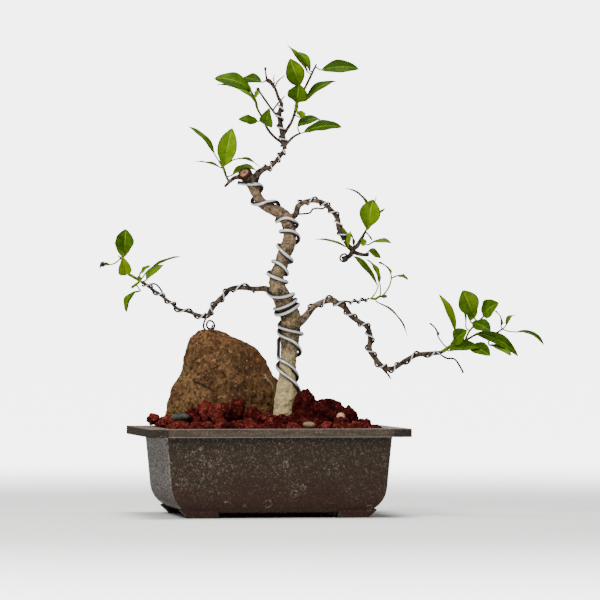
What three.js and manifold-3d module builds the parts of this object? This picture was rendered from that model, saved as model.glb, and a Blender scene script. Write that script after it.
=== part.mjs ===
// Ficus bonsai, a Chinese banyan in training, in a brown plastic pot.
// Millimetres, +Z up. The pot's length lies along X and its depth along Y.
// The tree, its stone and its wires stand in a group that is turned a little on the pot.

import * as THREE from 'three'
import { mergeVertices } from 'three/addons/utils/BufferGeometryUtils.js'
import Module from 'manifold-3d'

const wasm = await Module()
wasm.setup()

// Driving dimensions
const potHeight = 88
const footHeight = 5
const rimLength = 260
const rimDepth = 204
const rimThickness = 8.4
const bodyTopLength = 224
const bodyTopDepth = 184
const bodyFootLength = 211
const bodyFootDepth = 172
const endRound = 24
const frontRound = 8
const cornerRound = 3
const potWall = 4
const soilTop = 78
const bedTop = 84.5
const gap = 0.35
const coilGap = 1
const bladeThickness = 0.8
const stalkRadius = 0.65
const treeTurn = -8.5
const overcut = 1

// Finishes
const finish = (color, roughness, metalness = 0) =>
  new THREE.MeshStandardMaterial({ color, roughness, metalness })

const brownPlastic = finish(0x3f302a, 0.55)
const blackMesh = finish(0x1c1c1c, 0.7)
const darkSoil = finish(0x2b211a, 0.95)
const redLava = finish(0x6d1f19, 0.9)
const bluePebble = finish(0x6f7f8e, 0.6)
const tanPebble = finish(0xa08863, 0.6)
const orangePebble = finish(0xc98a55, 0.6)
const brownStone = finish(0x6e5236, 0.85)
const greyBark = finish(0x8c7658, 0.85)
const brightWire = finish(0xc9ccd0, 0.3, 1)
const greenLeaf = finish(0x4f8423, 0.4)

// Seeded random numbers, the same on each run
function randomFrom(seed) {
  let state = seed
  return () => {
    state = (state * 1664525 + 1013904223) % 4294967296
    return state / 4294967296
  }
}

// Solids and their joins
function signedVolume(positions, index) {
  const a = new THREE.Vector3()
  const b = new THREE.Vector3()
  const c = new THREE.Vector3()
  let total = 0
  for (let i = 0; i < index.length; i += 3) {
    a.fromArray(positions, index[i] * 3)
    b.fromArray(positions, index[i + 1] * 3)
    c.fromArray(positions, index[i + 2] * 3)
    total += a.dot(b.cross(c))
  }
  return total / 6
}

function solidOf(geometry) {
  const bare = geometry.clone()
  bare.deleteAttribute('normal')
  bare.deleteAttribute('uv')
  const merged = mergeVertices(bare, 1e-4)
  const positions = merged.attributes.position.array
  const corners = []
  const index = merged.index.array
  for (let i = 0; i < index.length; i += 3) {
    const [a, b, c] = [index[i], index[i + 1], index[i + 2]]
    if (a !== b && b !== c && c !== a) corners.push(a, b, c)
  }
  if (signedVolume(positions, corners) < 0) corners.reverse()
  return new wasm.Manifold(new wasm.Mesh({
    numProp: 3,
    vertProperties: new Float32Array(positions),
    triVerts: new Uint32Array(corners),
  }))
}

function geometryOf(solid) {
  const mesh = solid.getMesh()
  const geometry = new THREE.BufferGeometry()
  geometry.setAttribute('position', new THREE.BufferAttribute(mesh.vertProperties, 3))
  geometry.setIndex(new THREE.BufferAttribute(mesh.triVerts, 1))
  geometry.computeVertexNormals()
  return geometry
}

const fuse = solids => wasm.Manifold.union(solids)

// What is left of a cut solid without its loose scraps
const largestBody = solid =>
  solid.decompose().reduce((most, body) => (body.volume() > most.volume() ? body : most))

// A closed skin over rings of equally many points, with a fan over each end
function loft(rings) {
  const sides = rings[0].length
  const positions = []
  const index = []
  rings.forEach(ring => ring.forEach(point => positions.push(...point.toArray())))
  for (let level = 0; level < rings.length - 1; level++) {
    for (let side = 0; side < sides; side++) {
      const a = level * sides + side
      const b = level * sides + (side + 1) % sides
      index.push(a, b, b + sides, a, b + sides, a + sides)
    }
  }
  const last = (rings.length - 1) * sides
  for (let side = 1; side < sides - 1; side++) {
    index.push(0, side + 1, side, last, last + side, last + side + 1)
  }
  const geometry = new THREE.BufferGeometry()
  geometry.setAttribute('position', new THREE.Float32BufferAttribute(positions, 3))
  geometry.setIndex(index)
  return solidOf(geometry)
}

// A rounded rectangle at one height, with three steps to each corner
function roundedRing(halfLength, halfDepth, round, z) {
  const ring = []
  const corners = [[1, 1, 0], [-1, 1, 90], [-1, -1, 180], [1, -1, 270]]
  const cornerSteps = 3
  for (const [sideX, sideY, from] of corners) {
    for (let step = 0; step <= cornerSteps; step++) {
      const angle = THREE.MathUtils.degToRad(from + 90 * step / cornerSteps)
      ring.push(new THREE.Vector3(
        sideX * (halfLength - round) + round * Math.cos(angle),
        sideY * (halfDepth - round) + round * Math.sin(angle),
        z,
      ))
    }
  }
  return ring
}

const block = (length, depth, low, high, round = 1) =>
  loft([roundedRing(length / 2, depth / 2, round, low), roundedRing(length / 2, depth / 2, round, high)])

// Woody parts: each row is a point of the middle line with its radius, x, y, z, radius
function curveOf(rows) {
  const points = rows.map(([x, y, z]) => new THREE.Vector3(x, y, z))
  return new THREE.CatmullRomCurve3(points, false, 'centripetal')
}

function radiusAlong(rows, t, extra) {
  const place = t * (rows.length - 1)
  const before = Math.min(Math.floor(place), rows.length - 2)
  return THREE.MathUtils.lerp(rows[before][3], rows[before + 1][3], place - before) + extra
}

function limb(rows, sides, extra = 0) {
  const curve = curveOf(rows)
  const steps = rows.length - 1
  const rings = []
  let normal = null
  for (let step = 0; step <= steps; step++) {
    const t = step / steps
    const centre = curve.getPoint(t)
    const tangent = curve.getTangent(t)
    normal = sideways(tangent, normal)
    const binormal = new THREE.Vector3().crossVectors(tangent, normal)
    const radius = radiusAlong(rows, t, extra)
    const endShift = step === 0 ? -extra : step === steps ? extra : 0
    const middle = centre.addScaledVector(tangent, endShift)
    const ring = []
    for (let side = 0; side < sides; side++) {
      const angle = 2 * Math.PI * side / sides
      ring.push(middle.clone()
        .addScaledVector(normal, radius * Math.cos(angle))
        .addScaledVector(binormal, radius * Math.sin(angle)))
    }
    rings.push(ring)
  }
  return loft(rings)
}

// The direction across a tangent that turns least from the one before it
function sideways(tangent, before) {
  const start = before ?? new THREE.Vector3(1, 0, 0)
  const across = start.clone().addScaledVector(tangent, -start.dot(tangent))
  if (across.lengthSq() < 1e-6) across.set(0, 1, 0).addScaledVector(tangent, -tangent.y)
  return across.normalize()
}

// A round wire of one thickness along a list of points
function wireAlong(points, radius, sides) {
  const section = new THREE.Shape()
  for (let side = 0; side < sides; side++) {
    const angle = 2 * Math.PI * side / sides
    const corner = [radius * Math.cos(angle), radius * Math.sin(angle)]
    if (side === 0) section.moveTo(...corner)
    else section.lineTo(...corner)
  }
  section.closePath()
  const path = new THREE.CatmullRomCurve3(points, false, 'centripetal')
  return solidOf(new THREE.ExtrudeGeometry(section, {
    steps: points.length - 1,
    extrudePath: path,
    bevelEnabled: false,
  }))
}

// Points of a coil round a limb. The turn is in whole turns, zero at the front of the limb,
// and grows from the front towards the left, the back and the right.
function coilPoints(rows, from, to, turns, startTurn, wireRadius, stepsPerTurn) {
  const curve = curveOf(rows)
  const count = Math.ceil(turns * stepsPerTurn)
  const points = []
  for (let step = 0; step <= count; step++) {
    const share = step / count
    const t = from + (to - from) * share
    points.push(pointBeside(curve, rows, t, startTurn + turns * share, wireRadius))
  }
  return points
}

function pointBeside(curve, rows, t, turn, wireRadius) {
  const tangent = curve.getTangent(t)
  const front = new THREE.Vector3(0, -1, 0).addScaledVector(tangent, tangent.y).normalize()
  const left = new THREE.Vector3().crossVectors(front, tangent)
  const angle = 2 * Math.PI * turn
  const reach = radiusAlong(rows, t, coilGap + wireRadius)
  return curve.getPoint(t)
    .addScaledVector(front, reach * Math.cos(angle))
    .addScaledVector(left, reach * Math.sin(angle))
}

// Pot
const bodyTop = potHeight - rimThickness

function insetOfRound(height, round) {
  if (height >= round) return 0
  return round - Math.sqrt(round * round - (round - height) ** 2)
}

function potRing(z, wall, lift) {
  const share = (z - footHeight) / (bodyTop - footHeight)
  const straightLength = THREE.MathUtils.lerp(bodyFootLength, bodyTopLength, share) / 2
  const straightDepth = THREE.MathUtils.lerp(bodyFootDepth, bodyTopDepth, share) / 2
  const height = z - footHeight - lift
  return roundedRing(
    straightLength - wall - insetOfRound(height, endRound),
    straightDepth - wall - insetOfRound(height, frontRound),
    Math.max(cornerRound - wall / 2, 1),
    z,
  )
}

// Heights that follow the round of the ends, then the straight side
function potLevels(low, high) {
  const levels = []
  const roundSteps = 6
  for (let step = 0; step <= roundSteps; step++) {
    const angle = (Math.PI / 2) * step / roundSteps
    levels.push(low + endRound * (1 - Math.cos(angle)))
  }
  levels.push(high)
  return levels
}

const cavity = (wall, floor, high) =>
  loft(potLevels(footHeight + floor, high).map(z => potRing(z, wall, floor)))

const drainPlaces = [-50, 50]
const drainRadius = 10

function drainHole(x, radius, low, high) {
  const hole = new THREE.CylinderGeometry(radius, radius, high - low, 20)
  hole.rotateX(Math.PI / 2)
  hole.translate(x, 0, (low + high) / 2)
  return solidOf(hole)
}

// A foot stands under each corner, with its outer end slanting up along the round of the body
const footInner = 60
const footOuter = 89
const footTip = 98
const footTipHeight = 8
const footSink = 12
const footFront = 84
const footBack = 68

function foot(sideX, sideY) {
  const outline = new THREE.Shape()
  outline.moveTo(footInner, 0)
  outline.lineTo(footOuter, 0)
  outline.lineTo(footTip, footTipHeight)
  outline.lineTo(footOuter, footSink)
  outline.lineTo(footInner, footSink)
  outline.closePath()
  const shape = new THREE.ExtrudeGeometry(outline, { depth: footFront - footBack, bevelEnabled: false })
  shape.rotateX(Math.PI / 2)
  shape.translate(0, footFront, 0)
  shape.scale(sideX, sideY, 1)
  return solidOf(shape)
}

function makePot() {
  const body = loft(potLevels(footHeight, bodyTop + overcut).map(z => potRing(z, 0, 0)))
  const rim = block(rimLength, rimDepth, bodyTop, potHeight, cornerRound)
  const feet = [foot(1, 1), foot(-1, 1), foot(1, -1), foot(-1, -1)]
  const drains = drainPlaces.map(x => drainHole(x, drainRadius, -overcut, footHeight + potWall + overcut))
  return fuse([body, rim, ...feet])
    .subtract(cavity(potWall, potWall, potHeight + overcut))
    .subtract(fuse(drains))
}

// Net plate over a drain hole, on the pot's floor
const netSize = 30
const netThickness = 1.5
const netHole = 5
const netPitch = 9
const netLow = footHeight + potWall + gap

function makeDrainNet(x) {
  const plate = block(netSize, netSize, netLow, netLow + netThickness)
  const holes = []
  for (const column of [-0.5, 0.5]) {
    for (const row of [-0.5, 0.5]) {
      const hole = new THREE.BoxGeometry(netHole, netHole, 4 * netThickness)
      hole.translate(column * netPitch, row * netPitch, netLow)
      holes.push(solidOf(hole))
    }
  }
  return plate.subtract(fuse(holes)).translate([x, 0, 0])
}

// Tree: the middle lines of its woody limbs, each row x, y, z, radius.
// In this group +X is to the right and +Y is away, seen from the front of the tree.
const trunkLine = [
  [18.5, -8, 52, 7], [18.5, -8, 72, 12.5], [18.5, -8, 100, 12.6], [19.3, -8, 115, 11.8],
  [20, -8, 127, 10.7], [20, -8, 140, 8.4], [21.5, -8, 154, 8.3], [22.5, -8, 167, 9],
  [23, -8.5, 178, 9.5], [24, -9.5, 189, 10], [23, -11, 199, 10], [20, -12.5, 206, 10],
  [17.5, -13.5, 212, 10], [13.5, -15, 220.5, 9.3], [10, -16, 231, 7.8], [10.5, -16, 241, 7],
  [14.5, -15, 250, 7], [17, -14, 260, 7.3], [21, -12.5, 269, 7.2], [23, -11, 279, 6.7],
  [21.5, -9, 288.5, 6.9], [19, -8, 296, 7], [13, -7, 302, 6.4], [3, -6, 307, 5.8],
  [-6, -5, 313, 5.3], [-11, -5, 322, 5.2], [-14, -5, 329, 5.8], [-19, -6.5, 336, 6.8],
  [-22, -12, 340.5, 7.5],
]
const leftBranchLine = [
  [17, -13, 210, 4.5], [8, -8, 218, 3.6], [-1, -2, 226, 2.6], [-12, 2, 226, 2.1],
  [-24, 5, 227.5, 2.1], [-37, 8, 226, 2.1], [-42, 9, 221, 2.1], [-50, 11, 213, 2.1],
  [-56, 12, 205.5, 2], [-60, 13, 198.5, 1.9], [-68, 12.5, 199.5, 1.8], [-77.5, 11, 203, 1.6],
  [-90, 8.5, 206.5, 1.5], [-94.5, 7, 211, 1.5], [-101, 6, 215.5, 1.5], [-107, 5, 220.5, 1.5],
  [-114, 3, 225, 1.5], [-121, 1, 230.5, 1.5], [-126, 0, 233.2, 1.5],
]
const upperRightLine = [
  [18, -8, 294, 4.5], [24, -7.5, 297, 3.6], [29, -7, 301, 2.6], [31, -7, 308.5, 2.3],
  [38, -8, 313, 2.1], [47, -9, 314.2, 2], [56, -10, 312, 2], [61.3, -11, 307.5, 1.9],
  [66.6, -12, 302, 2], [71, -13, 295, 2.1], [71.4, -14, 288, 2.1], [74.6, -14.5, 281, 2.2],
  [77.5, -15, 274.5, 2.2],
]
const lowerRightLine = [
  [23, -9.5, 187, 5.5], [33, -11, 193.3, 4.5], [40, -12, 200, 3.8], [45, -13, 206.5, 3.3],
  [54, -15, 212.3, 3.1], [64.3, -16, 215, 2.6], [71, -17, 211.5, 2.4], [78, -18, 207, 2.2],
  [83.5, -18, 199.4, 2.2], [91.9, -19, 193.3, 2.1], [98.8, -20, 189, 2.1], [102.2, -20, 183, 2.2],
  [103, -20, 174.4, 2.2], [102.2, -20, 165.8, 2.1], [107.4, -20, 157.2, 2.1],
  [114.3, -19, 149.2, 2.1], [121, -18, 146.3, 2.1], [128, -17, 147.7, 2],
  [136.7, -16, 153.7, 2], [148.7, -14, 159.8, 1.9], [160.8, -12, 161.5, 1.9],
  [172.8, -10, 162.3, 1.9],
]
const lowerTwigLine = [
  [70, -17, 212, 1.8], [77, -18, 213.6, 1.3], [84.4, -19, 213, 1.2], [93.4, -20, 214.2, 1.1],
  [102, -21, 216.4, 1.1],
]
const crownBranchLine = [
  [-14, -5, 330, 5], [-9.2, -5, 341, 3.6], [-2.8, -4.5, 346, 2.8], [3, -4, 347.6, 2.4],
  [9.9, -4, 355, 2.3], [15, -4, 361.3, 2.2], [17.6, -4, 365, 2.2],
]
const crownLeftLine = [
  [-20, -5, 337, 3], [-31, -5, 337.5, 2.2], [-37, -5.5, 333.5, 1.8], [-42.4, -6, 328, 1.5],
]
const crownLeftShootLine = [[-38, -5.5, 333.2, 1.5], [-40.5, -6, 338, 1.4]]

function makeWood(extra = 0) {
  return fuse([
    limb(trunkLine, 10, extra),
    limb(leftBranchLine, 7, extra),
    limb(upperRightLine, 7, extra),
    limb(lowerRightLine, 7, extra),
    limb(lowerTwigLine, 6, extra),
    limb(crownBranchLine, 7, extra),
    limb(crownLeftLine, 6, extra),
    limb(crownLeftShootLine, 6, extra),
  ])
}

// Leaf blade, folded a little along its midrib and arched along its length.
// It is widest at its peak, a share of its length: in the middle, towards the tip or towards the foot.
const middlePeak = 0.5
const tipPeak = 0.62
const footPeak = 0.36
const ringBeforePeak = 0.44
const ringPastPeak = 0.6
const bladeFullness = 0.8
const bladeEndWidth = 0.08
const bladeFold = THREE.MathUtils.degToRad(12)
const towardsViewer = new THREE.Vector3(0, -1, 0)

// Zero turn shows the whole blade from the front, and a quarter turn shows its edge, upper face up
function bladeNormal(along, turn) {
  const facing = towardsViewer.clone().addScaledVector(along, -towardsViewer.dot(along)).normalize()
  const across = new THREE.Vector3().crossVectors(along, facing)
  if (across.z < 0) across.negate()
  const angle = THREE.MathUtils.degToRad(turn)
  return facing.multiplyScalar(Math.cos(angle)).addScaledVector(across, Math.sin(angle))
}

function bladeStations(peak) {
  const bend = Math.log(0.5) / Math.log(peak)
  return [0, ringBeforePeak * peak, peak, peak + ringPastPeak * (1 - peak), 1].map(share => {
    const fullness = Math.max(Math.sin(Math.PI * share ** bend), 0) ** bladeFullness
    return [share, Math.max(fullness, bladeEndWidth)]
  })
}

// Rings run over the upper face from edge to edge and back over the lower face
function bladeRings(base, along, across, up, length, width, arch, peak) {
  return bladeStations(peak).map(([share, fullness]) => {
    const rise = arch * length * 4 * share * (1 - share)
    const slope = arch * 4 * (1 - 2 * share)
    const normal = up.clone().addScaledVector(along, -slope).normalize()
    const middle = base.clone().addScaledVector(along, length * share).addScaledVector(up, rise)
    const half = width * fullness / 2
    const edge = side => middle.clone()
      .addScaledVector(across, side * half * Math.cos(bladeFold))
      .addScaledVector(normal, half * Math.sin(bladeFold))
    const line = [edge(1), middle, edge(-1)]
    const shifted = amount => line.map(point => point.clone().addScaledVector(normal, amount))
    return [...shifted(bladeThickness / 2), ...shifted(-bladeThickness / 2).reverse()]
  })
}

// The stalk has the same six points to a ring as its blade
function stalkRing(middle, tangent, across) {
  const side = across.clone().addScaledVector(tangent, -across.dot(tangent)).normalize()
  const normal = new THREE.Vector3().crossVectors(side, tangent)
  return [30, 90, 150, 210, 270, 330].map(degrees => {
    const angle = THREE.MathUtils.degToRad(degrees)
    return middle.clone()
      .addScaledVector(side, stalkRadius * Math.cos(angle))
      .addScaledVector(normal, stalkRadius * Math.sin(angle))
  })
}

function nearestOn(stemLines, place) {
  let nearest = null
  for (const line of stemLines) {
    for (const point of curveOf(line).getPoints(line.length * 6)) {
      if (!nearest || point.distanceTo(place) < nearest.distanceTo(place)) nearest = point
    }
  }
  return nearest
}

// A leaf grows from the nearest point of the spray's stems, as one closed skin
function leaf([from, to, width, turn, arch, peak], stemLines) {
  const base = new THREE.Vector3(...from)
  const along = new THREE.Vector3(...to).sub(base)
  const length = along.length()
  along.normalize()
  const up = bladeNormal(along, turn)
  const across = new THREE.Vector3().crossVectors(along, up)
  const root = nearestOn(stemLines, base)
  const outward = base.clone().sub(root).normalize()
  return ringSkin([
    stalkRing(root, outward, across),
    ...bladeRings(base, along, across, up, length, width, arch, peak),
  ])
}

// Both faces of a leaf are split the same way
function ringSkin(rings) {
  const sides = rings[0].length
  const positions = rings.flat().flatMap(point => point.toArray())
  const index = []
  for (let level = 0; level < rings.length - 1; level++) {
    for (let side = 0; side < sides; side++) {
      const a = level * sides + side
      const b = level * sides + (side + 1) % sides
      const lowerFace = side === 3 || side === 4
      if (lowerFace) index.push(a, b, a + sides, b, b + sides, a + sides)
      else index.push(a, b, b + sides, a, b + sides, a + sides)
    }
  }
  const last = (rings.length - 1) * sides
  index.push(0, 5, 1, 1, 5, 4, 1, 4, 2, 2, 4, 3)
  index.push(last, last + 1, last + 5, last + 1, last + 4, last + 5)
  index.push(last + 1, last + 2, last + 4, last + 2, last + 3, last + 4)
  const geometry = new THREE.BufferGeometry()
  geometry.setAttribute('position', new THREE.Float32BufferAttribute(positions, 3))
  geometry.setIndex(index)
  return solidOf(geometry)
}

// A spray starts just past the end of the limb that it grows from
function makeSpray({ stems, leaves }, woodRoom) {
  return largestBody(fuse([
    ...stems.map(line => limb(line, 4)),
    ...leaves.map(row => leaf(row, stems)),
  ]).subtract(woodRoom))
}

// Sprays. A stem's row is x, y, z, radius.
// A leaf's row is the foot of its blade, its tip, its width, its turn, its arch and its peak.
const crownSpray = {
  stems: [
    [[17.85, -4, 365.5, 2.2], [16.5, -4, 375, 2.2], [14, -4, 388, 2.1], [12.5, -4, 401, 2],
      [14.5, -4, 411, 1.8], [11.5, -4, 417, 1.6], [8.7, -4, 425, 1.5], [4.5, -4, 432, 1.5],
      [0.5, -4, 434.5, 1.2], [-1.8, -4, 446, 0.7]],
    [[17, -4, 369, 1.9], [15, -3, 372, 1.7], [7.4, -2, 378, 1.5], [1, -1, 385.5, 1.5],
      [-4, 0, 396, 1.3], [-10.5, 1, 408.5, 1.2], [-12, 2, 416, 1.1], [-16, 3, 424, 1]],
    [[16, -4.5, 379, 1.7], [19, -5, 384, 1.7], [24, -6, 392, 1.5], [27.8, -7, 402, 1.5],
      [29.5, -8, 410, 1.5], [38.6, -9, 428, 1.2], [43, -10, 437, 1.3], [49.5, -10, 450.6, 0.9]],
    [[17.2, -4.5, 368.5, 1.7], [20, -5, 371.5, 1.5], [26.5, -6, 378, 1.3], [33.5, -7, 381.7, 1.1]],
    [[13.2, -3.5, 395, 1.3], [3.5, -1, 407.5, 1.2], [-8, 1, 424, 1.1]],
    [[6, -1.5, 405, 1], [11, 1.5, 412, 1], [17.6, 2, 419, 0.7]],
    [[8, -4, 427, 0.9], [10, -4.5, 432.5, 0.9], [17.6, -5, 439.5, 0.6]],
  ],
  leaves: [
    [[-16, 3, 425.5], [-53, 7, 437], 20, 40, 0.14, middlePeak],
    [[-5.5, 2, 433], [-27, 20, 437], 15, 45, 0.1, middlePeak],
    [[-20.5, 5, 424], [-50.6, 14, 431], 15, 80, 0.06, middlePeak],
    [[-7.5, -1, 402], [-32.2, -7, 427], 15, 76, 0.15, middlePeak],
    [[-9, -6, 393.5], [-28.5, -20, 395], 10, 20, 0.06, middlePeak],
    [[0, -5, 389], [2.5, -28, 405.5], 15, 20, 0.1, footPeak],
    [[-13, 0, 418], [-7, -8, 423.5], 7, 40, 0.05, middlePeak],
    [[41, -10, 442], [20, 4, 470.6], 8, 52, 0.06, middlePeak],
    [[43, -8, 443.5], [28.5, 2, 464], 11, 48, 0.16, middlePeak],
    [[32, -16, 428], [23, -33, 454.8], 19.5, 5, 0.06, middlePeak],
    [[30, -12, 411], [32, -38, 429], 21, 5, 0.08, tipPeak],
    [[54, -9, 444.5], [92, -4, 446], 18, 40, 0.1, middlePeak],
    [[38, -6, 413.5], [69.2, 4, 434], 13, 50, 0.14, middlePeak],
    [[36, -7, 382], [75, -13, 387.5], 16, 48, 0.12, middlePeak],
    [[30.3, -4, 388], [53.3, 18, 397], 15, 50, 0.12, middlePeak],
    [[37.5, -5, 397], [30.5, 2, 404.5], 9, 40, 0.05, middlePeak],
    [[-15.5, 6, 423], [-38, 34, 430], 16, 60, 0.1, middlePeak],
  ],
}
const crownLeftSpray = {
  stems: [[[-40.7, -6.05, 338.4, 1.4], [-43, -7, 345, 1.3], [-48, -8, 354, 1]]],
  leaves: [
    [[-52, -8.5, 360.5], [-78.3, -13, 388], 14, 66, 0.08, middlePeak],
    [[-43, -9, 348], [-34.7, -14, 386.5], 20, 8, 0.08, middlePeak],
    [[-45, -5, 347], [-71.7, 13, 354], 10, 82, 0.05, middlePeak],
    [[-34, -10, 355], [-7.3, -14, 347.5], 13, 80, 0.15, middlePeak],
    [[-35, -1, 340], [-7, 16, 342], 16, 65, 0.2, middlePeak],
  ],
}
const leftSpray = {
  stems: [
    [[-126.4, -0.1, 233.4, 1.5], [-131.5, -1, 237, 1.4], [-138, -2, 240.5, 1.3],
      [-142, -3, 246, 1.1], [-144, -3.5, 253.5, 0.9], [-148.5, -5, 259.5, 0.6]],
    [[-127.5, -0.5, 233.5, 1.3], [-130, -1.5, 231, 1.2], [-135.3, -2, 227.5, 1.1]],
  ],
  leaves: [
    [[-142, -5, 260.5], [-140.5, -24, 285.5], 19, 4, 0.08, tipPeak],
    [[-142, -6, 239.5], [-143.5, -26, 258], 14, 15, 0.08, footPeak],
    [[-158, 10, 250.5], [-169, 24, 248], 8, 70, 0.05, middlePeak],
    [[-120, -3.5, 244], [-86.5, -7, 258.5], 9, 74, 0.06, middlePeak],
    [[-121, 6, 235], [-104, 22, 250.5], 13, 55, 0.1, middlePeak],
    [[-128, -5, 239], [-116, -16, 249], 8, 60, 0.08, middlePeak],
    [[-130, -4, 235.5], [-124.5, -10, 236], 7, 0, 0.05, middlePeak],
    [[-126, -3, 224.5], [-140.2, -14, 202.4], 12, 60, 0.25, middlePeak],
    [[-144, 0, 257], [-147, 26, 276], 17, 20, 0.1, middlePeak],
  ],
}
const upperRightSpray = {
  stems: [
    [[77.7, -15.05, 274.1, 2.2], [81.8, -15.5, 268.2, 2.6], [85.3, -16, 264.6, 2.9],
      [82, -15, 258.5, 2.4], [75, -14, 256, 2.2]],
    [[84.5, -16, 265.5, 2.5], [88.9, -16, 267.8, 2.3], [93.4, -17, 274.5, 2],
      [97, -17, 281, 1.3], [98.7, -18, 284.5, 1.1]],
    [[84.5, -16, 263.5, 2.4], [93, -16, 260.5, 2], [99.5, -16, 259.8, 1.7]],
  ],
  leaves: [
    [[99.3, -19, 284.5], [105.5, -38, 314.6], 21.5, 3, 0.08, tipPeak],
    [[100, -13, 290], [78.3, 6, 327.3], 13, 82, 0.22, middlePeak],
    [[102, -13, 287], [118.4, 4, 307.5], 12, 68, 0.05, middlePeak],
    [[100, -20, 269.8], [123.5, -40, 271.2], 14, 74, 0.1, middlePeak],
    [[102, -12, 264.5], [114, 2, 257], 9, 40, 0.06, footPeak],
    [[79, -20, 268], [47.4, -24, 275.4], 14, 79, 0.06, middlePeak],
    [[81, -19, 267], [83.3, -20, 283.8], 6, 45, 0.04, middlePeak],
    [[87, -14, 268], [84, -12, 281.7], 5, 60, 0.04, middlePeak],
    [[80, -9, 271], [72, 6, 290], 13, 66, 0.08, middlePeak],
    [[93.5, -20, 271.5], [99.5, -26, 273], 8, 10, 0.05, middlePeak],
  ],
}
const lowerTwigSpray = {
  stems: [
    [[102.35, -21.05, 216.5, 1.1], [108, -21.5, 216, 1.3], [112, -22, 218.2, 1.2],
      [117.6, -22, 218.4, 1.2]],
    [[114, -22, 218, 0.9], [118.5, -22, 223, 0.8], [122.5, -22.5, 230, 0.8], [124, -23, 237, 0.8]],
    [[104, -21, 216.5, 0.9], [108.5, -22.5, 222.5, 0.7], [111, -23.5, 229, 0.7]],
    [[112.5, -22, 218, 0.8], [113.3, -21, 224, 0.7], [112.6, -19.5, 231, 0.7]],
  ],
  leaves: [
    [[110.5, -24, 229.5], [86, -30, 258.5], 16, 65, 0.05, tipPeak],
    [[112, -19.5, 231.5], [99, -10, 256], 12, 68, 0.12, middlePeak],
    [[126, -24, 237.5], [140.6, -38, 234.6], 9, 70, 0.15, footPeak],
    [[123.7, -21, 241], [111.2, -4, 252.1], 10, 84, 0.1, middlePeak],
    [[109, -21.5, 213.5], [139.8, -24, 179.6], 11, 83, 0.12, middlePeak],
  ],
}
const lowerRightSpray = {
  stems: [
    [[173.15, -9.95, 162.4, 1.8], [178, -9, 165, 1.8], [183, -9, 168.7, 1.8],
      [199.4, -8, 175.3, 1.2], [209.4, -8, 180.5, 1.1], [227.6, -8, 181.5, 1],
      [235, -8, 186, 0.9]],
    [[198, -8, 174.8, 1.1], [201, -9, 182, 1.1], [206, -9, 188.5, 1.1], [216.8, -9, 199, 0.9]],
    [[183, -9, 169, 1.3], [187.5, -9, 177, 1.1], [188.7, -9, 183, 0.9]],
  ],
  leaves: [
    [[188, -9.5, 184], [171.7, -12, 220.7], 16, 60, 0.07, middlePeak],
    [[186, -12, 172.5], [199, -32, 184.5], 17, 30, 0.08, middlePeak],
    [[181, -12, 164], [214, -24, 166.5], 16, 52, 0.12, middlePeak],
    [[202, -14, 169.5], [222, -32, 159.5], 17, 35, 0.08, middlePeak],
    [[206.3, -13, 197.5], [194.8, -30, 224.6], 22, 8, 0.08, tipPeak],
    [[215, -11, 200.5], [230.3, -34, 212], 19, 28, 0.1, middlePeak],
    [[205, -13, 193], [222.5, -30, 183.5], 16, 32, 0.08, middlePeak],
    [[207, -12, 181.5], [250.8, -12, 158.7], 18, 48, 0.14, middlePeak],
    [[221, -12, 170.5], [243, -29, 159.5], 13, 60, 0.08, middlePeak],
    [[239, -7, 190.2], [249.8, 11, 200.3], 9, 70, 0.12, middlePeak],
    [[234, -5, 189], [228, 14, 204.3], 9, 84, 0.12, middlePeak],
    [[248.4, -9, 183.3], [276.6, -14, 169.8], 12, 70, 0.16, middlePeak],
    [[199, -7, 187], [194, -3, 211], 10, 83, 0.06, middlePeak],
    [[171, -5, 178.6], [162.5, 16, 191.6], 9, 84, 0.08, middlePeak],
    [[203, -4, 194], [201, 24, 212], 16, 30, 0.1, middlePeak],
  ],
}

const sprays = {
  spray_crown: crownSpray,
  spray_crown_left: crownLeftSpray,
  spray_left: leftSpray,
  spray_upper_right: upperRightSpray,
  spray_lower_twig: lowerTwigSpray,
  spray_lower_right: lowerRightSpray,
}

// Stone: its silhouette from the front, each row the height, the left end and the right end
const stoneLevels = [
  [78.4, -103, 10.5], [97, -103, 12], [113, -100.5, 13.5], [125, -95.5, 14], [134, -91, 12.5],
  [144, -86, 3], [155, -85, -2.6], [165, -82, -9], [172.5, -79, -20], [178, -76, -35],
  [182, -72, -44], [185, -67, -51],
]
const stoneMiddle = 18
const stoneHalfDepth = 32
const stoneSides = 18
const stoneSquareness = 0.85
const stoneRightThinning = 0.45
const stoneRoughness = 0.14
const stoneTopSlope = 6

// Its depth shrinks towards the top as a half ellipse, and towards its slim right end
function makeStone(extra = 0) {
  const random = randomFrom(11)
  const last = stoneLevels.length - 1
  const low = stoneLevels[0][0]
  const tall = stoneLevels[last][0] - low + stoneTopSlope
  const rings = stoneLevels.map(([z, left, right], level) => {
    const half = (right - left) / 2
    const slim = Math.sqrt(1 - ((z - low) / tall) ** 2)
    const endShift = level === 0 ? -extra : level === last ? extra : 0
    const ring = []
    for (let side = 0; side < stoneSides; side++) {
      const angle = 2 * Math.PI * side / stoneSides
      const reach = Math.cos(angle)
      const thin = 1 - stoneRightThinning * Math.max(reach, 0)
      const rough = level === 0 ? 1 - stoneRoughness / 4 : 1 + stoneRoughness * (random() - 0.5)
      const acrossShare = Math.sign(reach) * Math.abs(reach) ** stoneSquareness
      ring.push(new THREE.Vector3(
        (left + right) / 2 + acrossShare * (half + extra),
        stoneMiddle + Math.sin(angle) * (stoneHalfDepth * slim * thin * rough + extra),
        z + endShift,
      ))
    }
    return ring
  })
  return loft(rings)
}

// Lava gravel: a bed with a mound round the stone and the trunk, and chunks half sunk in it.
// Lengths here are in the pot's own frame.
const mounds = [
  { x: -45, y: 2, halfLength: 62, halfDepth: 46, rise: 9 },
  { x: 40, y: -22, halfLength: 44, halfDepth: 34, rise: 7 },
]

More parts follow.
